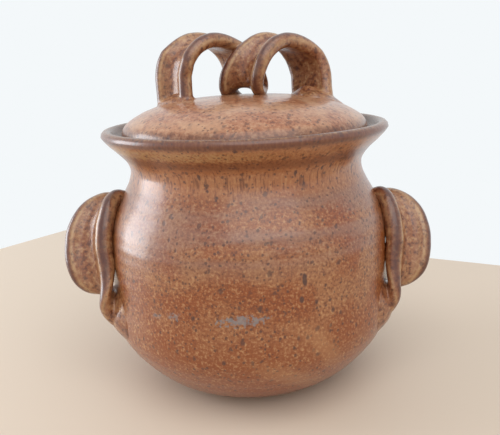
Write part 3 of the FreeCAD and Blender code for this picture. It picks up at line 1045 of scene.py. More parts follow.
    def neck_zones(self, colour: Socket, fine: Socket) -> Socket:
        """Streak the neck, darken its top with painted shadow of the lip together with the glaze's
        dark line, break the glaze below the lip and darken the lip.

        Args:
            colour: The colour of the belly.
            fine: The fine noise of its mottling.

        Returns:
            The colour with these zones.
        """
        glaze, zones, height = self.glaze, self.zones, self.height
        streaks = self.cloud(620.0, 3.0, 0.62, (1.0, 1.0, 0.10), 8.0)
        neck = height.step(*zones.neck)
        colour = self.lay(colour, glaze.flushed, neck * 0.6)
        colour = self.lay(colour, glaze.pale, neck * streaks.step(0.54, 0.68) * 0.35)
        colour = self.lay(colour, glaze.deep, neck * streaks.step(0.46, 0.37) * 0.7)
        edge = height + (streaks - 0.5) * zones.edge_ragged
        # Band under the lip: painted shadow of the lip's overhang, laid with the glaze's dark wavy
        # line there.
        lip_shadow_and_line = edge.step(*zones.lip_shadow_line_bottom) * edge.step(*zones.lip_shadow_line_top)
        colour = self.lay(colour, glaze.deep, lip_shadow_and_line * 0.55)
        side = self.across.step(*zones.ochre_side) * 0.75 + 0.2
        ochre = edge.step(*zones.ochre_bottom) * edge.step(*zones.ochre_top)
        colour = self.lay(colour, glaze.ochre, ochre * side * fine.step(0.35, 0.6))
        lip = height.step(*zones.lip)
        colour = self.lay(colour, glaze.iron, lip * 0.15)
        colour = self.lay(colour, glaze.deep, lip * (streaks.step(0.62, 0.40) * 0.2 + 0.78))
        # Ochre on the lip's crest: partly glaze break, partly painted highlight.
        crest = height.step(*zones.crest)
        return self.lay(colour, glaze.ochre, crest * fine.step(0.44, 0.62) * 0.4)

    def liner(self, colour: Socket) -> Socket:
        """Cover the inside with the liner."""
        return self.lay(colour, self.glaze.liner,
                        self.sketch.stored("inside") * self.zones.liner_share)

    def lid_zones(self, colour: Socket, fine: Socket) -> Socket:
        """Lay the dome's paler rings, its dark edge and the liner under it.

        Args:
            colour: The glaze's mottled colour.
            fine: The fine noise of its mottling.

        Returns:
            The colour with these zones.
        """
        rings = self.cloud(95.0, 3.0, 0.55, (0.5, 0.5, 1.0), 4.0)
        colour = self.lay(colour, self.glaze.pale, rings.step(0.42, 0.66) * 0.5)
        edge = self.radius.step(*self.zones.lid_edge)
        colour = self.lay(colour, self.glaze.deep, edge * (fine.step(0.6, 0.4) * 0.35 + 0.45))
        return self.liner(colour)

    def strap_zones(self, colour: Socket, fine: Socket) -> Socket:
        """Darken the beads' crests, partly thin dark glaze and partly painted shade, and lay ochre
        beside them, partly glaze breaks and partly painted highlight.

        Args:
            colour: The glaze's mottled colour.
            fine: The fine noise of its mottling.

        Returns:
            The colour with these zones.
        """
        glaze = self.glaze
        crest = self.sketch.stored("crest")
        beside = self.sketch.stored("beside")
        rough = self.cloud(160.0, 3.0, 0.6, seed=9.0)
        # Ochre beside the crests: partly glaze break, partly painted highlight line.
        colour = self.lay(colour, glaze.ochre, beside * (rough.step(0.38, 0.58) * 0.6 + 0.35))
        # Dark crests: partly thin dark glaze, partly painted shade that makes the beads read as
        # rolls.
        colour = self.lay(colour, glaze.deep, crest * (rough.step(0.66, 0.42) * 0.28 + 0.70))
        return self.lay(colour, glaze.iron, crest * fine.step(0.54, 0.66) * 0.6)

    def dress(self) -> bpy.types.Material:
        """Make the whole material.

        Returns:
            The finished material.
        """
        glaze, zones, height = self.glaze, self.zones, self.height
        colour, broad, fine = self.ground_colour()
        if glaze.pot_zones:
            colour = self.belly_zones(colour, fine)
            colour = self.liner(self.neck_zones(colour, fine))
            colour = self.lay(colour, glaze.bare, height.step(*zones.bare_foot))
        if glaze.lid_zones:
            colour = self.lid_zones(colour, fine)
        if glaze.strap_zones:
            colour = self.strap_zones(colour, fine)
        small = self.specks(360.0, 0.18, 0.40, 0.52, seed=1.0)
        large = self.specks(180.0, 0.14, 0.28, 0.66, (1.0, 1.0, 0.76), seed=4.0)
        colour = self.lay(colour, glaze.iron, small * glaze.small_specks)
        colour = self.lay(colour, glaze.iron, large * glaze.large_specks)
        if glaze.pot_zones:
            drips = self.specks(230.0, 0.16, 0.34, 0.7, (1.0, 1.0, 0.2), seed=7.0)
            high = height.step(*zones.drips_bottom) * height.step(*zones.drips_top)
            colour = self.lay(colour, glaze.iron, drips * high * 0.85)
        rough = self.cloud(420.0, 3.0, 0.6, seed=12.0)
        colour = self.marks(colour, glaze.pale_marks, glaze.pale, rough)
        colour = self.marks(colour, glaze.dark_marks, glaze.iron, rough)
        colour = self.marks(colour, glaze.slate_marks, glaze.slate, rough)
        grain = self.cloud(700.0, 3.0, 0.6, seed=15.0)
        relief = grain * 0.6 + fine * 0.5 - large * 0.35 + broad * 0.8
        bump = self.sketch.node("ShaderNodeBump", {}, {
            "Strength": glaze.grain_strength, "Distance": glaze.grain_depth, "Height": relief})
        gloss = (fine - 0.5) * (2 * glaze.uneven) + glaze.roughness
        surface = self.sketch.node("ShaderNodeBsdfPrincipled", {}, {
            "Base Color": colour, "Roughness": gloss, "Normal": self.sketch.out(bump),
            "Coat Weight": glaze.coat, "Coat Roughness": glaze.coat_roughness,
            "Specular IOR Level": glaze.specular})
        self.sketch.node("ShaderNodeOutputMaterial", {}, {"Surface": self.sketch.out(surface)})
        return self.material


@dataclass
class ChannelStrap:
    """A pulled strap with a rolled bead along each edge and a hollow between them.

    Angles go round a bead in degrees, from the strap's outer edge towards its channel. Each of
    crest, channel_break_and_highlight and edge_break_and_highlight is the angle where that glaze
    shows most, and its width.
    The dark at the crest is partly painted shade and the ochre at the breaks partly painted
    highlight.
    """

    name: str
    facing: float = 1.0
    front_swell: float = 1.0
    hollow_angle: float = 55.0
    inner_hollow_angle: float = 4.0
    hollow_power: float = 3.0
    inner_power: float = 2.0
    crest: Pair = (72.0, 30.0)
    channel_break_and_highlight: Pair = (118.0, 15.0)
    edge_break_and_highlight: Pair = (8.0, 18.0)
    edge_break_and_highlight_share: float = 0.7
    hollow_break_share: float = 0.5
    hollow_break_power: int = 8
    lengths: int = 150
    bead_points: int = 24
    hollow_points: int = 20

    def section(self) -> tuple[np.ndarray, np.ndarray, np.ndarray, np.ndarray]:
        """The section, as shares of the strap's reach and of its bead's radius.

        Returns:
            For each point of the section: (across, outward) shares of the reach, the same
            shares of the bead's radius, how far the point is a bead's crest, and how far it
            lies beside one.
        """
        outer = math.radians(90.0 + self.hollow_angle)
        inner = math.radians(90.0 + self.inner_hollow_angle)
        reach: list[Pair] = []
        bead: list[Pair] = []
        crest: list[float] = []
        beside: list[float] = []

        def swell(turn: float, place: Pair) -> float:
            """A soft hump of height one round an angle."""
            return math.exp(-((turn - place[0]) / place[1]) ** 2)

        def add_bead(side: float, angles: np.ndarray) -> None:
            """Add the points of one edge bead.

            Args:
                side: 1 for the front bead and -1 for the back one.
                angles: Where its points lie round it, in radians.
            """
            for angle in angles:
                reach.append((side, 0.0))
                bead.append((side * math.cos(angle), math.sin(angle)))
                turn = math.degrees(angle)
                crest.append(swell(turn, self.crest))
                beside.append(swell(turn, self.channel_break_and_highlight)
                              + self.edge_break_and_highlight_share * swell(turn, self.edge_break_and_highlight))

        def add_hollow(side: float, angle: float, sign: float, power: float) -> None:
            """Add the points of one hollow between the beads.

            Args:
                side: The side that the points start from.
                angle: Where the hollow leaves the bead, in radians.
                sign: 1 for the channel and -1 for the strap's other face.
                power: How flat the hollow's middle is.
            """
            depth = math.tan(angle - math.pi / 2) / power
            for number in range(1, self.hollow_points):
                share = side * math.cos(math.pi * number / self.hollow_points)
                sag = depth * (1 - abs(share) ** power)
                reach.append((share, -sign * sag))
                rise = math.sin(angle) - sag * math.cos(angle)
                bead.append((share * math.cos(angle), sign * rise))
                crest.append(0.0)
                beside.append(self.hollow_break_share * abs(share) ** self.hollow_break_power)

        add_bead(1.0, np.linspace(outer, -inner, self.bead_points))
        add_hollow(1.0, inner, -1.0, self.inner_power)
        add_bead(-1.0, np.linspace(-inner, outer, self.bead_points))
        add_hollow(-1.0, outer, 1.0, self.hollow_power)
        return np.array(reach), np.array(bead), np.array(crest), np.array(beside)

    def template(self) -> bpy.types.Object:
        """Make a closed tube whose vertices know their share of the length and of the section.

        Returns:
            The tube, which the node tree bends into the strap.
        """
        reach, bead, crest, beside = self.section()
        ring = len(reach)
        rows = self.lengths + 1
        along = np.repeat(np.linspace(0.0, 1.0, rows), ring)
        round_it = np.tile(np.arange(ring) / ring, rows)
        places = np.stack([along, round_it, np.zeros(rows * ring)], axis=1)
        faces = [tuple(reversed(range(ring))), tuple(range((rows - 1) * ring, rows * ring))]
        for row in range(rows - 1):
            for n in range(ring):
                after = (n + 1) % ring
                faces.append((row * ring + n, row * ring + after,
                              (row + 1) * ring + after, (row + 1) * ring + n))
        mesh = bpy.data.meshes.new(self.name + "Template")
        mesh.from_pydata(places.tolist(), [], faces)
        store_number(mesh, "along", along)
        flat = np.zeros((rows * ring, 1))
        store_triple(mesh, "on_reach", np.hstack([np.tile(reach, (rows, 1)), flat]))
        store_triple(mesh, "on_bead", np.hstack([np.tile(bead, (rows, 1)), flat]))
        store_number(mesh, "crest", np.tile(crest, rows))
        store_number(mesh, "beside", np.tile(beside, rows))
        return make_object(self.name + "Template", mesh)

    @staticmethod
    def edge_line(name: str, points: Sequence[Vector],
                  radii: Sequence[float]) -> bpy.types.Object:
        """Draw the middle line of one bead, which carries the bead's radius.

        Args:
            name: The line's name.
            points: Its points.
            radii: The bead's radius at each point.

        Returns:
            The line.
        """
        line = bpy.data.curves.new(name, "CURVE")
        line.dimensions = "3D"
        spline = line.splines.new("POLY")
        spline.points.add(len(points) - 1)
        for point, place, radius in zip(spline.points, points, radii):
            point.co = (*place, 1.0)
            point.radius = radius
        thing = bpy.data.objects.new(name, line)
        bpy.context.scene.collection.objects.link(thing)
        return thing

    @staticmethod
    def sweep_tree() -> bpy.types.NodeTree:
        """Build the node tree that wraps the template round two edge lines, once for all straps.

        Returns:
            The tree.
        """
        known = bpy.data.node_groups.get("StrapSweep")
        if known:
            return known
        tree = bpy.data.node_groups.new("StrapSweep", "GeometryNodeTree")
        for name, kind in (("Template", "NodeSocketGeometry"), ("Front Edge", "NodeSocketObject"),
                           ("Back Edge", "NodeSocketObject"), ("Facing", "NodeSocketFloat"),
                           ("Front Swell", "NodeSocketFloat"), ("Finish", "NodeSocketMaterial")):
            tree.interface.new_socket(name=name, in_out="INPUT", socket_type=kind)
        tree.interface.new_socket(name="Strap", in_out="OUTPUT", socket_type="NodeSocketGeometry")
        sketch = Sketch(tree)
        given = sketch.node("NodeGroupInput")

        def stored(name: str, kind: str) -> Socket:
            """Read one of the template's stored values."""
            return sketch.out(sketch.node("GeometryNodeInputNamedAttribute", {"data_type": kind},
                                          {"Name": name}), "Attribute")

        along = stored("along", "FLOAT")
        places, headings, radii = [], [], []
        for edge in ("Front Edge", "Back Edge"):
            line = sketch.node("GeometryNodeObjectInfo", {"transform_space": "ORIGINAL"},
                               {"Object": sketch.out(given, edge)})
            radius = sketch.node("GeometryNodeInputRadius")
            taken = sketch.node(
                "GeometryNodeSampleCurve", {"mode": "FACTOR", "data_type": "FLOAT"},
                {"Curves": sketch.out(line, "Geometry"), "Value": sketch.out(radius),
                 "Factor": along})
            places.append(sketch.out(taken, "Position"))
            headings.append(sketch.out(taken, "Tangent"))
            radii.append(sketch.out(taken, "Value"))
        span = places[0] - places[1]
        middle = (places[0] + places[1]) * 0.5
        heading = (headings[0] + headings[1]).unit()
        across = (span - heading * span.dot(heading)).unit()
        outward = across.cross(heading) * sketch.out(given, "Facing")
        reach = span.length() * 0.5
        on_reach, on_bead = (
            sketch.node("ShaderNodeSeparateXYZ", {}, {"Vector": stored(name, "FLOAT_VECTOR")})
            for name in ("on_reach", "on_bead"))
        forward = sketch.out(on_reach, "X") * 0.5 + 0.5
        bead = radii[1] + (radii[0] * sketch.out(given, "Front Swell") - radii[1]) * forward
        sideways = reach * sketch.out(on_reach, "X") + bead * sketch.out(on_bead, "X")
        out = reach * sketch.out(on_reach, "Y") + bead * sketch.out(on_bead, "Y")
        place = middle + across * sideways + outward * out
        moved = sketch.node("GeometryNodeSetPosition", {}, {
            "Geometry": sketch.out(given, "Template"), "Position": place})
        smooth = sketch.node("GeometryNodeSetShadeSmooth", {}, {"Geometry": sketch.out(moved)})
        real = sketch.node("GeometryNodeRealizeInstances", {}, {"Geometry": sketch.out(smooth)})
        dressed = sketch.node("GeometryNodeSetMaterial", {}, {
            "Geometry": sketch.out(real), "Material": sketch.out(given, "Finish")})
        sketch.node("NodeGroupOutput", {}, {"Strap": sketch.out(dressed)})
        return tree

    def sweep(self, front: Sequence[Vector], back: Sequence[Vector], radii: Sequence[float],
              finish: bpy.types.Material) -> bpy.types.Mesh:
        """Sweep the section along two edges.

        Args:
            front: The front bead's middle line.
            back: The back bead's middle line.
            radii: The beads' radius at each point of the lines.
            finish: The strap's material.

        Returns:
            The strap as a plain mesh.
        """
        template = self.template()
        edges = [self.edge_line(self.name + word, points, radii)
                 for word, points in (("Front", front), ("Back", back))]
        tree = self.sweep_tree()
        swept = template.modifiers.new("Sweep", "NODES")
        swept.node_group = tree
        wanted = {"Front Edge": edges[0], "Back Edge": edges[1], "Facing": self.facing,
                  "Front Swell": self.front_swell, "Finish": finish}
        for item in tree.interface.items_tree:
            if item.in_out == "INPUT" and item.name in wanted:
                swept[item.identifier] = wanted[item.name]
        mesh = evaluated_mesh(template)
        for thing in (template, *edges):
            bpy.data.objects.remove(thing)
        return mesh


@dataclass(frozen=True)
class PadSize:
    """How large one pad of clay is, and the seed of its ragged edge."""

    half_length: float
    half_width: float
    thickness: float
    seed: float


@dataclass
class Pad:
    """A pad of clay smeared onto a ground, thickest in its middle and thinning to nothing."""

    middle: Vector
    long_way: Vector
    size: PadSize
    sunk: float = 0.0035
    ragged: float = 0.10
    ragged_scale: float = 1.6
    dome_power: float = 1.6
    feather: float = 0.0004
    rings: int = 16
    around: int = 56

    def mesh(self, ground: Ground) -> bpy.types.Mesh:
        """Make the pad as a closed mesh whose underside lies inside the wall.

        Args:
            ground: What the pad is smeared onto.

        Returns:
            The mesh.
        """
        size = self.size
        spot, out = ground.spot(self.middle)
        long_way = (self.long_way - out * self.long_way.dot(out)).normalized()
        side_way = out.cross(long_way)
        tops: list[Vector] = []
        bottoms: list[Vector] = []
        for ring in range(1, self.rings + 1):
            for turn in range(self.around):
                share = ring / self.rings
                angle = 2 * math.pi * turn / self.around
                place = Vector((math.cos(angle), math.sin(angle), size.seed)) * self.ragged_scale
                edge = 1 + self.ragged * noise.noise(place)
                flat = (spot + long_way * (size.half_length * share * edge * math.cos(angle))
                        + side_way * (size.half_width * share * edge * math.sin(angle)))
                seat, away = ground.spot(flat)
                rise = size.thickness * (1 - share * share) ** self.dome_power
                rise -= self.feather * share
                tops.append(seat + away * rise)
                bottoms.append(seat - away * self.sunk)
        vertices = [spot + out * size.thickness, spot - out * self.sunk, *tops, *bottoms]
        count = self.rings * self.around
        faces: list[tuple[int, ...]] = []
        for turn in range(self.around):
            after = (turn + 1) % self.around
            faces.append((0, 2 + turn, 2 + after))
            faces.append((1, 2 + count + after, 2 + count + turn))
            for ring in range(self.rings - 1):
                low, high = 2 + ring * self.around, 2 + (ring + 1) * self.around
                faces.append((low + turn, high + turn, high + after, low + after))
                faces.append((count + low + turn, count + low + after,
                              count + high + after, count + high + turn))
            rim = 2 + (self.rings - 1) * self.around
            faces.append((rim + turn, count + rim + turn, count + rim + after, rim + after))
        mesh = bpy.data.meshes.new("Pad")
        mesh.from_pydata([tuple(vertex) for vertex in vertices], [], faces)
        return mesh


@dataclass
class LutedStrap:
    """A strap and its pads, pressed together and onto a ground as one run of clay."""

    name: str
    voxel: float = 0.0008
    bury: float = 0.0035
    soft_reach: float = 0.0034
    soft_start: float = 0.4
    soft_rounds: int = 14
    all_rounds: int = 3
    pull: float = 0.5
    lump: float = 0.00028
    lump_length: float = 0.013
    small_lump_length: float = 0.005
    small_lump_share: float = 0.35

    def bury_ends(self, mesh: bpy.types.Mesh, ground: Ground) -> None:
        """Keep what goes into the ground from coming out on its other side.

        Args:
            mesh: The strap's mesh.
            ground: What it is pressed onto.
        """
        points = mesh_points(mesh)
        gaps, spots, outs = ground.distances(points)
        for index in np.nonzero(gaps < -self.bury)[0]:
            points[index] = spots[index] - outs[index] * self.bury
        set_points(mesh, points)

    def fuse(self, meshes: Sequence[bpy.types.Mesh]) -> bpy.types.Mesh:
        """Make one closed skin of overlapping meshes.

        Args:
            meshes: The meshes.

        Returns:
            The skin.
        """
        vertices: list[Sequence[float]] = []
        faces: list[tuple[int, ...]] = []
        for mesh in meshes:
            start = len(vertices)
            vertices.extend(mesh_points(mesh).tolist())
            faces.extend(tuple(start + n for n in polygon.vertices) for polygon in mesh.polygons)
        joined = bpy.data.meshes.new(self.name + "Joined")
        joined.from_pydata(vertices, [], faces)
        thing = make_object(self.name + "Joined", joined)
        fused = thing.modifiers.new("Fuse", "REMESH")
        fused.mode = "VOXEL"
        fused.voxel_size = self.voxel
        fused.use_smooth_shade = True
        mesh = evaluated_mesh(thing)
        bpy.data.objects.remove(thing)
        return mesh

    @staticmethod
    def relax(points: np.ndarray, pairs: np.ndarray, weights: np.ndarray,
              rounds: int) -> np.ndarray:
        """Even out a mesh by drawing each vertex towards its neighbours' middle.

        Args:
            points: The vertices.
            pairs: The two vertices of each edge.
            weights: How far each vertex is drawn in one round, from 0 to 1.
            rounds: How often it is done.

        Returns:
            The moved vertices.
        """
        counts = np.bincount(pairs.ravel(), minlength=len(points))[:, None]
        for _ in range(rounds):
            total = np.zeros_like(points)
            for axis in range(3):
                for end, other in ((0, 1), (1, 0)):
                    total[:, axis] += np.bincount(
                        pairs[:, end], points[pairs[:, other], axis], len(points))
            points = points + weights[:, None] * (total / counts - points)
        return points

    def build(self, strap: bpy.types.Mesh, pads: Sequence[Pad],
              ground: Ground) -> bpy.types.Object:
        """Fuse the strap with its pads and soften the joints.

        Args:
            strap: The swept strap.
            pads: The pads at its joints.
            ground: What it is pressed onto.

        Returns:
            The finished object.
        """
        self.bury_ends(strap, ground)
        mesh = self.fuse([strap, *(pad.mesh(ground) for pad in pads)])
        points = mesh_points(mesh)
        flat = np.zeros(len(mesh.edges) * 2, np.int32)
        mesh.edges.foreach_get("vertices", flat)
        pairs = flat.reshape(-1, 2)
        gaps, _, _ = ground.distances(points)
        near = 1.0 - smoothstep(self.soft_reach * self.soft_start, self.soft_reach, np.abs(gaps))
        points = self.relax(points, pairs, np.full(len(points), self.pull), self.all_rounds)
        points = self.relax(points, pairs, self.pull * near, self.soft_rounds)
        set_points(mesh, points)
        normals = mesh_normals(mesh)
        uneven = [self.lump * (wander(p, self.lump_length, 2.0) + self.small_lump_share
                               * wander(p, self.small_lump_length, 6.0)) for p in points]
        set_points(mesh, points + normals * np.array(uneven)[:, None])
        self.copy_zones(strap, mesh, near)
        mesh.polygons.foreach_set("use_smooth", [True] * len(mesh.polygons))
        return make_object(self.name, mesh)

    @staticmethod
    def copy_zones(strap: bpy.types.Mesh, mesh: bpy.types.Mesh, near: np.ndarray) -> None:
        """Give the fused skin the strap's crests, faded out where it meets the ground.

        Args:
            strap: The strap before it was fused.
            mesh: The fused skin.
            near: How near each of the skin's vertices is to the ground, from 0 to 1.
        """
        tree = KDTree(len(strap.vertices))
        for vertex in strap.vertices:
            tree.insert(vertex.co, vertex.index)
        tree.balance()
        found = [tree.find(vertex.co) for vertex in mesh.vertices]
        owners = np.array([hit[1] for hit in found])
        far = smoothstep(0.001, 0.003, np.array([hit[2] for hit in found]))
        for name in ("crest", "beside"):
            values = np.zeros(len(strap.vertices), np.float32)
            strap.attributes[name].data.foreach_get("value", values)
            store_number(mesh, name, values[owners] * (1 - far) * (1 - 0.8 * near))


@dataclass
class Coil:
    """The lid's handle: one channelled strap wound twice across the dome.

    Its turns are in degrees, from 0 at the top of the left leg to last_turn at the top of the
    right one. Past either end, one degree stands for one millimetre of leg.
    """

    width: float = 0.033
    bead: float = 0.0093
    bead_swell: float = 0.0007
    pitch: float = 0.049
    swing: float = 0.009
    half_depth: float = 0.014
    half_height: float = 0.0162
    lift: float = 0.0012
    start_x: float = 0.045
    start_y: float = 0.002
    advance_y: float = 0.006
    fall: float = 0.0022
    turn: float = 42.0
    turn_sway: float = 12.0
    bank: float = 0.08
    leg_blend: float = 0.010
    foot_sink: float = 0.007
    right_foot_x: float = 0.001
    right_foot_y: float = 0.008
    last_turn: float = 540.0
    metres_per_degree: float = 0.001
    degrees_per_metre: float = 1000.0
    foot_power: float = 1.5
    sway_power: float = 1.5
    half_step: float = 0.5
    points: int = 360
    left_pad: PadSize = PadSize(0.0205, 0.0110, 0.0040, 1.0)
    right_pad: PadSize = PadSize(0.0225, 0.0165, 0.0046, 2.0)
    right_pad_shift: float = 0.0025
    ridge: PadSize = PadSize(0.0180, 0.0075, 0.0034, 4.0)
    ridge_along: float = 0.016
    ridge_shift: Triple = (-0.013, -0.001, 0.0)
    ridge_way: Triple = (-0.55, -1.0, 0.0)
    flap: PadSize = PadSize(0.0130, 0.0100, 0.0070, 7.0)
    flap_shift: Triple = (-0.0050, -0.0035, 0.0)
    wad: PadSize = PadSize(0.0085, 0.0070, 0.0050, 3.0)
    wad_way: Triple = (1.0, 0.6, 0.0)

    def leg_length(self, lid_top: float, dome: Ground) -> float:
        """Find how far the strap's ends drop below the coil's middle.

        Args:
            lid_top: Height of the dome's middle.
            dome: The dome.

        Returns:
            The length of both legs.
        """
        foot = dome.spot((self.start_x + self.width / 2, 0.0, lid_top))[0]
        return lid_top + self.lift + self.bead / 2 + self.half_height - foot.z + self.foot_sink / 2

    def station(self, turn: float, lid_top: float, leg: float) -> tuple[Vector, Vector]:
        """Find one place along the strap.

        Args:
            turn: How far the strap has turned there.
            lid_top: Height of the dome's middle.
            leg: The length of both legs.

        Returns:
            The strap's middle and about the way that its width lies.
        """
        held = min(max(turn, 0.0), self.last_turn)
        angle = math.radians(held)
        part = held / 360.0
        beyond = max(-turn, turn - self.last_turn, 0.0) * self.metres_per_degree
        middle = Vector((
            -self.start_x + self.swing * (1 - math.cos(angle)) + self.pitch * part,
            self.start_y + self.half_depth * (1 - math.cos(angle)) - self.advance_y * part,
            lid_top + self.lift + self.bead / 2 + self.half_height
            + self.half_height * math.sin(angle) - self.fall * part))
        if beyond > 0.0:
            side = -1.0 if turn < 0.0 else 1.0
            slope = self.pitch / (2 * math.pi * self.half_height)
            ease = 1 - (1 - min(beyond / self.leg_blend, 1.0)) ** 2
            middle += Vector((side * slope * self.leg_blend / 2 * ease, 0.0, -beyond))
            if side > 0:
                share = (beyond / leg) ** self.foot_power
                middle += Vector((self.right_foot_x, -self.right_foot_y, 0.0)) * share
        arched = max(math.sin(angle), 0.0)
        heading = math.radians(self.turn + self.turn_sway * arched ** self.sway_power)
        hint = Vector((math.cos(heading), -math.sin(heading), -self.bank * math.sin(angle)))
        return middle, hint

    def feet(self, leg: float) -> Pair:
        """The turns of the left foot and of the right one."""
        return (-leg * self.degrees_per_metre, self.last_turn + leg * self.degrees_per_metre)

    def edges(self, lid_top: float,
              dome: Ground) -> tuple[list[Vector], list[Vector], list[float]]:
        """Find the two beads' middle lines, from the left foot to the right one.

        Args:
            lid_top: Height of the dome's middle.
            dome: The dome.

        Returns:
            The front line, the back line and the beads' radius at each of their points.
        """
        leg = self.leg_length(lid_top, dome)
        first, last = self.feet(leg)
        front, back, radii = [], [], []
        for turn in np.linspace(first, last, self.points):
            middle, hint = self.station(turn, lid_top, leg)
            along = (self.station(turn + self.half_step, lid_top, leg)[0]
                     - self.station(turn - self.half_step, lid_top, leg)[0]).normalized()
            across = (hint - along * hint.dot(along)).normalized()
            held = math.radians(min(max(turn, 0.0), self.last_turn))
            bead = self.bead + self.bead_swell * math.sin(held)
            reach = (self.width - bead) / 2
            front.append(middle + across * reach)
            back.append(middle - across * reach)
            radii.append(bead / 2)
        return front, back, radii

    def pads(self, lid_top: float, dome: Ground) -> list[Pad]:
        """Place the smeared pads under both feet and the wad under the middle turn.

        Args:
            lid_top: Height of the dome's middle.
            dome: The dome.

        Returns:
            The pads. The ridge and the flap of clay belong to the right foot.
        """
        leg = self.leg_length(lid_top, dome)
        first, last = self.feet(leg)
        left, left_hint = self.station(first, lid_top, leg)
        right, right_hint = self.station(last, lid_top, leg)
        low, low_hint = self.station(self.last_turn / 2, lid_top, leg)
        flat_left = Vector((left_hint.x, left_hint.y, 0.0)).normalized()
        flat_right = Vector((right_hint.x, right_hint.y, 0.0)).normalized()
        ridge = right + flat_right * self.ridge_along + Vector(self.ridge_shift)
        wad = low - low_hint.normalized() * (self.width - self.bead) / 2
        return [
            Pad(left, flat_left, self.left_pad),
            Pad(right + flat_right * self.right_pad_shift, flat_right, self.right_pad),
            Pad(ridge, Vector(self.ridge_way).normalized(), self.ridge),
            Pad(right + Vector(self.flap_shift), flat_right, self.flap),
            Pad(wad, Vector(self.wad_way).normalized(), self.wad),
        ]

    def build(self, lid_top: float, dome: Ground, finish: bpy.types.Material) -> bpy.types.Object:
        """Make the handle.

        Args:
            lid_top: Height of the dome's middle.
            dome: The dome.
            finish: The strap's material.

        Returns:
            The handle.
        """
        strap = ChannelStrap("LidCoil", facing=1.0, lengths=330)
        mesh = strap.sweep(*self.edges(lid_top, dome), finish)
        return LutedStrap("LidCoil").build(mesh, self.pads(lid_top, dome), dome)


@dataclass
class Lug:
    """One channelled side lug, swept down and towards the user.

    Its stations are an angle from the side axis in degrees, a height and a distance off the
    wall. Sizes that start with right_ and both insets are for the right lug alone.
    """

    name: str
    side: float
    bead: float = 0.0106
    tail_bead: float = 0.0075
    front_swell: float = 1.18
    right_back_droop: float = 0.0045
    right_top_drop: float = 0.006
    right_tail_drop: float = 0.0005
    front_right_inset: float = 0.0002
    back_right_inset: float = 0.0016
    tail_power: int = 3
    tail_angle: float = 24.5
    tail_height: float = 0.057
    tail_pad: PadSize = PadSize(0.0190, 0.0185, 0.0048, 5.0)
    top_angle: float = 1.0
    top_height: float = 0.124
    top_pad: PadSize = PadSize(0.0120, 0.0190, 0.0040, 6.0)
    pad_way: Triple = (0.0, -0.25, 1.0)
    near_wall: float = 0.1
    points: int = 240
    front_stations: tuple[Triple, ...] = (
        (4.5, 0.128, -0.012), (11.0, 0.134, 0.006), (17.0, 0.122, 0.0071),
        (20.7, 0.100, 0.0068), (22.9, 0.080, 0.0046), (23.7, 0.065, 0.0018),
        (24.3, 0.047, -0.0095),
    )
    back_stations: tuple[Triple, ...] = (
        (-4.0, 0.122, -0.013), (2.6, 0.1315, 0.014), (8.6, 0.1225, 0.023),
        (13.0, 0.1045, 0.0248), (15.8, 0.090, 0.0214), (17.6, 0.079, 0.0105),
        (19.8, 0.066, -0.010),
    )

    def outward(self, angle: float) -> Vector:
        """The level direction that lies at an angle from the side axis."""
        turn = math.radians(angle)
        return Vector((self.side * math.cos(turn), -math.sin(turn), 0.0))

    def edge(self, stations: Sequence[Triple], inset: float, droop: float,
             wall: Ground) -> list[Vector]:
        """The middle line of one bead.

        Args:
            stations: The bead's stations.
            inset: How much closer to the wall the right lug's bead lies.
            droop: How much lower the right lug's bead ends.
            wall: The pot's outer wall.

        Returns:
            Points from the lug's top to its tail.
        """
        places = []
        for number, (angle, height, standoff) in enumerate(stations):
            if self.side > 0:
                part = number / (len(stations) - 1)
                height -= self.right_top_drop + (self.right_tail_drop - self.right_top_drop) * part
                height -= droop * part ** 2
                standoff -= inset
            heading = self.outward(angle)
            radius = wall.spot((heading.x, heading.y, height))[0].xy.length
            places.append(heading * (radius + standoff) + Vector((0.0, 0.0, height)))
        return smooth_line(places, self.points)

    def pads(self) -> list[Pad]:
        """Place the smeared clay at the lug's tail and top.

        Returns:
            The two pads.
        """
        found = []
        for angle, height, drop, size in (
                (self.tail_angle, self.tail_height, self.right_tail_drop, self.tail_pad),
                (self.top_angle, self.top_height, self.right_top_drop, self.top_pad)):
            middle = self.outward(angle) * self.near_wall
            middle.z = height - drop if self.side > 0 else height
            size = replace(size, seed=size.seed + self.side)
            found.append(Pad(middle, Vector(self.pad_way), size))
        return found

    def build(self, wall: Ground, finish: bpy.types.Material) -> bpy.types.Object:
        """Make the lug.

        Args:
            wall: The pot's outer wall.
            finish: The strap's material.

        Returns:
            The lug.
        """
        front = self.edge(self.front_stations, self.front_right_inset, 0.0, wall)
        back = self.edge(self.back_stations, self.back_right_inset, self.right_back_droop, wall)
        radii = [(self.bead + (self.tail_bead - self.bead) * part ** self.tail_power) / 2
                 for part in np.linspace(0.0, 1.0, self.points)]
        strap = ChannelStrap(self.name, facing=self.side, front_swell=self.front_swell)
        mesh = strap.sweep(front, back, radii, finish)
        return LutedStrap(self.name).build(mesh, self.pads(), wall)


@dataclass(frozen=True)
class Lamp:
    """One soft lamp: where it stands, how large it is, and its power in watts."""

    name: str
    place: Triple
    width: float
    height: float
    power: float
    colour: Colour


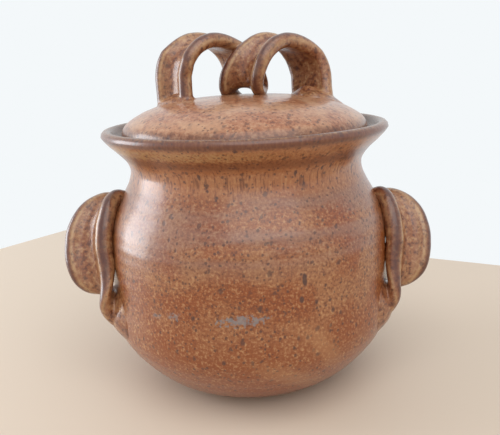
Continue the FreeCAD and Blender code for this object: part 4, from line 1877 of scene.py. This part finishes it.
@dataclass(frozen=True)
class Studio:
    """A pale table top, a white room and a soft window on the left.

    The table's far corner lies at table_corner, and its other corners are given from there.
    The camera's angles are in degrees, its lens and sensor in millimetres.
    """

    table: Colour = (212, 195, 177)
    room: Colour = (244, 248, 250)
    room_light: float = 0.82
    table_corner: Pair = (-0.236, 0.437)
    table_left: Pair = (-1.60, -2.07)
    table_right: Pair = (2.30, -1.165)
    table_near: Pair = (0.8, -4.2)
    table_roughness: float = 0.6
    lamps: tuple[Lamp, ...] = (
        Lamp("Window", (-1.25, 0.22, 0.33), 0.70, 0.85, 11.0, (244, 249, 255)),
        Lamp("Ceiling", (0.25, -0.9, 1.3), 1.6, 1.6, 13.0, (255, 253, 250)),
    )
    lamps_aim: Triple = (0.0, 0.0, 0.11)
    camera_place: Triple = (0.00129, -0.40798, 0.21943)
    pitch: float = 14.696
    roll: float = -2.348
    lens: float = 41.76
    sensor: float = 36.0
    nearest_seen: float = 0.01

    def make_table(self) -> None:
        """The table top that the pot stands on."""
        corner = Vector((*self.table_corner, 0.0))
        left = corner + Vector((*self.table_left, 0.0))
        right = corner + Vector((*self.table_right, 0.0))
        near = corner + Vector((*self.table_near, 0.0))
        mesh = bpy.data.meshes.new("TableTop")
        mesh.from_pydata([tuple(v) for v in (corner, left, near, right)], [], [(0, 1, 2, 3)])
        table = make_object("TableTop", mesh)
        material = bpy.data.materials.new("PaleTable")
        material.use_nodes = True
        material.node_tree.nodes.clear()
        sketch = Sketch(material.node_tree)
        surface = sketch.node("ShaderNodeBsdfPrincipled", {}, {
            "Base Color": linear(self.table), "Roughness": self.table_roughness})
        sketch.node("ShaderNodeOutputMaterial", {}, {"Surface": sketch.out(surface)})
        mesh.materials.append(material)

    def make_room(self) -> None:
        """Soft white light from all round, seen as a white room."""
        world = bpy.data.worlds.new("WhiteRoom")
        bpy.context.scene.world = world
        world.use_nodes = True
        world.node_tree.nodes.clear()
        sketch = Sketch(world.node_tree)
        ray = sketch.node("ShaderNodeLightPath")
        seen = sketch.out(ray, "Is Camera Ray")
        for kind in ("Is Glossy Ray", "Is Transmission Ray"):
            seen = seen.most(sketch.out(ray, kind))
        light = sketch.node("ShaderNodeBackground", {}, {
            "Color": linear(self.room), "Strength": self.room_light})
        white = sketch.node("ShaderNodeBackground", {}, {
            "Color": linear(self.room), "Strength": 1.0})
        both = sketch.node("ShaderNodeMixShader", {}, {
            0: seen, 1: sketch.out(light), 2: sketch.out(white)})
        sketch.node("ShaderNodeOutputWorld", {}, {"Surface": sketch.out(both)})

    def make_lamps(self) -> None:
        """Hang the window on the left and a weak fill above."""
        aim = Vector(self.lamps_aim)
        for lamp in self.lamps:
            light = bpy.data.lights.new(lamp.name, "AREA")
            light.shape = "RECTANGLE"
            light.size = lamp.width
            light.size_y = lamp.height
            light.energy = lamp.power
            light.color = linear(lamp.colour)[:3]
            place = Vector(lamp.place)
            thing = bpy.data.objects.new(lamp.name, light)
            thing.location = place
            thing.rotation_euler = (aim - place).to_track_quat("-Z", "Y").to_euler()
            bpy.context.scene.collection.objects.link(thing)

    def make_camera(self) -> None:
        """The camera at the photograph's viewing angle."""
        pitch, roll = math.radians(self.pitch), math.radians(self.roll)
        forward = Vector((0.0, math.cos(pitch), -math.sin(pitch)))
        level_up = Vector((0.0, math.sin(pitch), math.cos(pitch)))
        level_right = Vector((1.0, 0.0, 0.0))
        right = level_right * math.cos(roll) + level_up * math.sin(roll)
        up = level_up * math.cos(roll) - level_right * math.sin(roll)
        turn = Matrix((right, up, -forward)).transposed().to_4x4()
        camera = bpy.data.objects.new("Camera", bpy.data.cameras.new("Camera"))
        camera.data.lens = self.lens
        camera.data.sensor_width = self.sensor
        camera.data.clip_start = self.nearest_seen
        camera.matrix_world = Matrix.Translation(self.camera_place) @ turn
        bpy.context.scene.collection.objects.link(camera)
        bpy.context.scene.camera = camera
        bpy.context.scene.view_settings.view_transform = "Standard"

    def build(self) -> None:
        """Set the whole stage."""
        self.make_camera()
        self.make_table()
        self.make_room()
        self.make_lamps()


POT_GLAZE = Glaze(
    "PotGlaze", pot_zones=True,
    dark_marks=(
        Mark(71.4, 0.0983, 0.0987, 0.0014, 0.0038, 4.0, 0.2, 0.9),
        Mark(72.7, 0.0865, 0.0991, 0.0014, 0.0022, 0.0, 0.2, 0.85),
    ),
    slate_marks=(
        Mark(94.0, 0.0763, 0.0994, 0.0100, 0.0024, 4.0, 1.5, 0.75, 0.35),
        Mark(117.5, 0.0756, 0.0994, 0.0035, 0.0018, 0.0, 1.5, 0.55, 0.4),
        Mark(126.5, 0.0737, 0.0995, 0.0030, 0.0014, 0.0, 1.5, 0.4, 0.4),
    ),
    pale_marks=(
        Mark(64.0, 0.053, 0.0990, 0.0180, 0.0062, -52.0, 0.5, 0.30, 0.8),
        Mark(76.0, 0.034, 0.0930, 0.0240, 0.0058, -30.0, 0.5, 0.30, 0.8),
    ),
)
STRAP_GLAZE = Glaze(
    "StrapGlaze", strap_zones=True, body=(152, 102, 68), warm=(136, 80, 48),
    pale=(184, 144, 104), deep=(82, 40, 28), ochre=(184, 146, 104), roughness=0.36, coat=0.65,
    coat_roughness=0.20, mottle=1.1, mottle_scale=280.0, small_specks=0.45, large_specks=0.5)
LID_GLAZE = Glaze(
    "LidGlaze", lid_zones=True, body=(168, 114, 80), warm=(158, 96, 60), pale=(192, 150, 116),
    roughness=0.36, coat=0.6, coat_roughness=0.20, mottle=1.0, mottle_scale=340.0,
    small_specks=0.65, large_specks=0.55)


def settle(piece: bpy.types.Object, body: Body, material: bpy.types.Material,
           nodes: Sequence[str]) -> None:
    """Dress a piece, tie it to its body and hide the solids that it stands for.

    Args:
        piece: The finished object.
        body: The body that it rides on.
        material: Its material.
        nodes: The solids that it stands for.
    """
    piece.data.materials.clear()
    piece.data.materials.append(material)
    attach(piece, body.value)
    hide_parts(*nodes)
    triangles = sum(len(polygon.vertices) - 2 for polygon in piece.data.polygons)
    LOG.info("%s: %d triangles, stands for %s", piece.name, triangles, ", ".join(nodes))


def main() -> None:
    """Build the stage and the finishes, then the pot, its lugs and its lid, in that order."""
    logging.basicConfig(level=logging.INFO, format="%(name)s %(message)s")
    Studio().build()
    pot_finish, strap_finish, lid_finish = (
        GlazeFinish(glaze).dress() for glaze in (POT_GLAZE, STRAP_GLAZE, LID_GLAZE))
    pot, lid = Pot(), Lid()
    wall, dome = pot.ground(), lid.ground(pot)
    settle(pot.build(), Body.POT, pot_finish, ["pot_body"])
    for side, word in ((-1.0, "left"), (1.0, "right")):
        lug = Lug("Lug" + word.capitalize(), side).build(wall, strap_finish)
        nodes = [f"lug_{word}_strap", f"lug_{word}_top_wad", f"lug_{word}_tail_pad"]
        settle(lug, Body.POT, strap_finish, nodes)
    settle(lid.build(pot), Body.LID, lid_finish, ["lid_shell"])
    coil = Coil().build(lid.top(pot), dome, strap_finish)
    nodes = ["lid_coil_strap", "coil_left_pad", "coil_right_pad", "coil_middle_wad"]
    settle(coil, Body.LID, strap_finish, nodes)


if __name__ == "__main__":
    main()
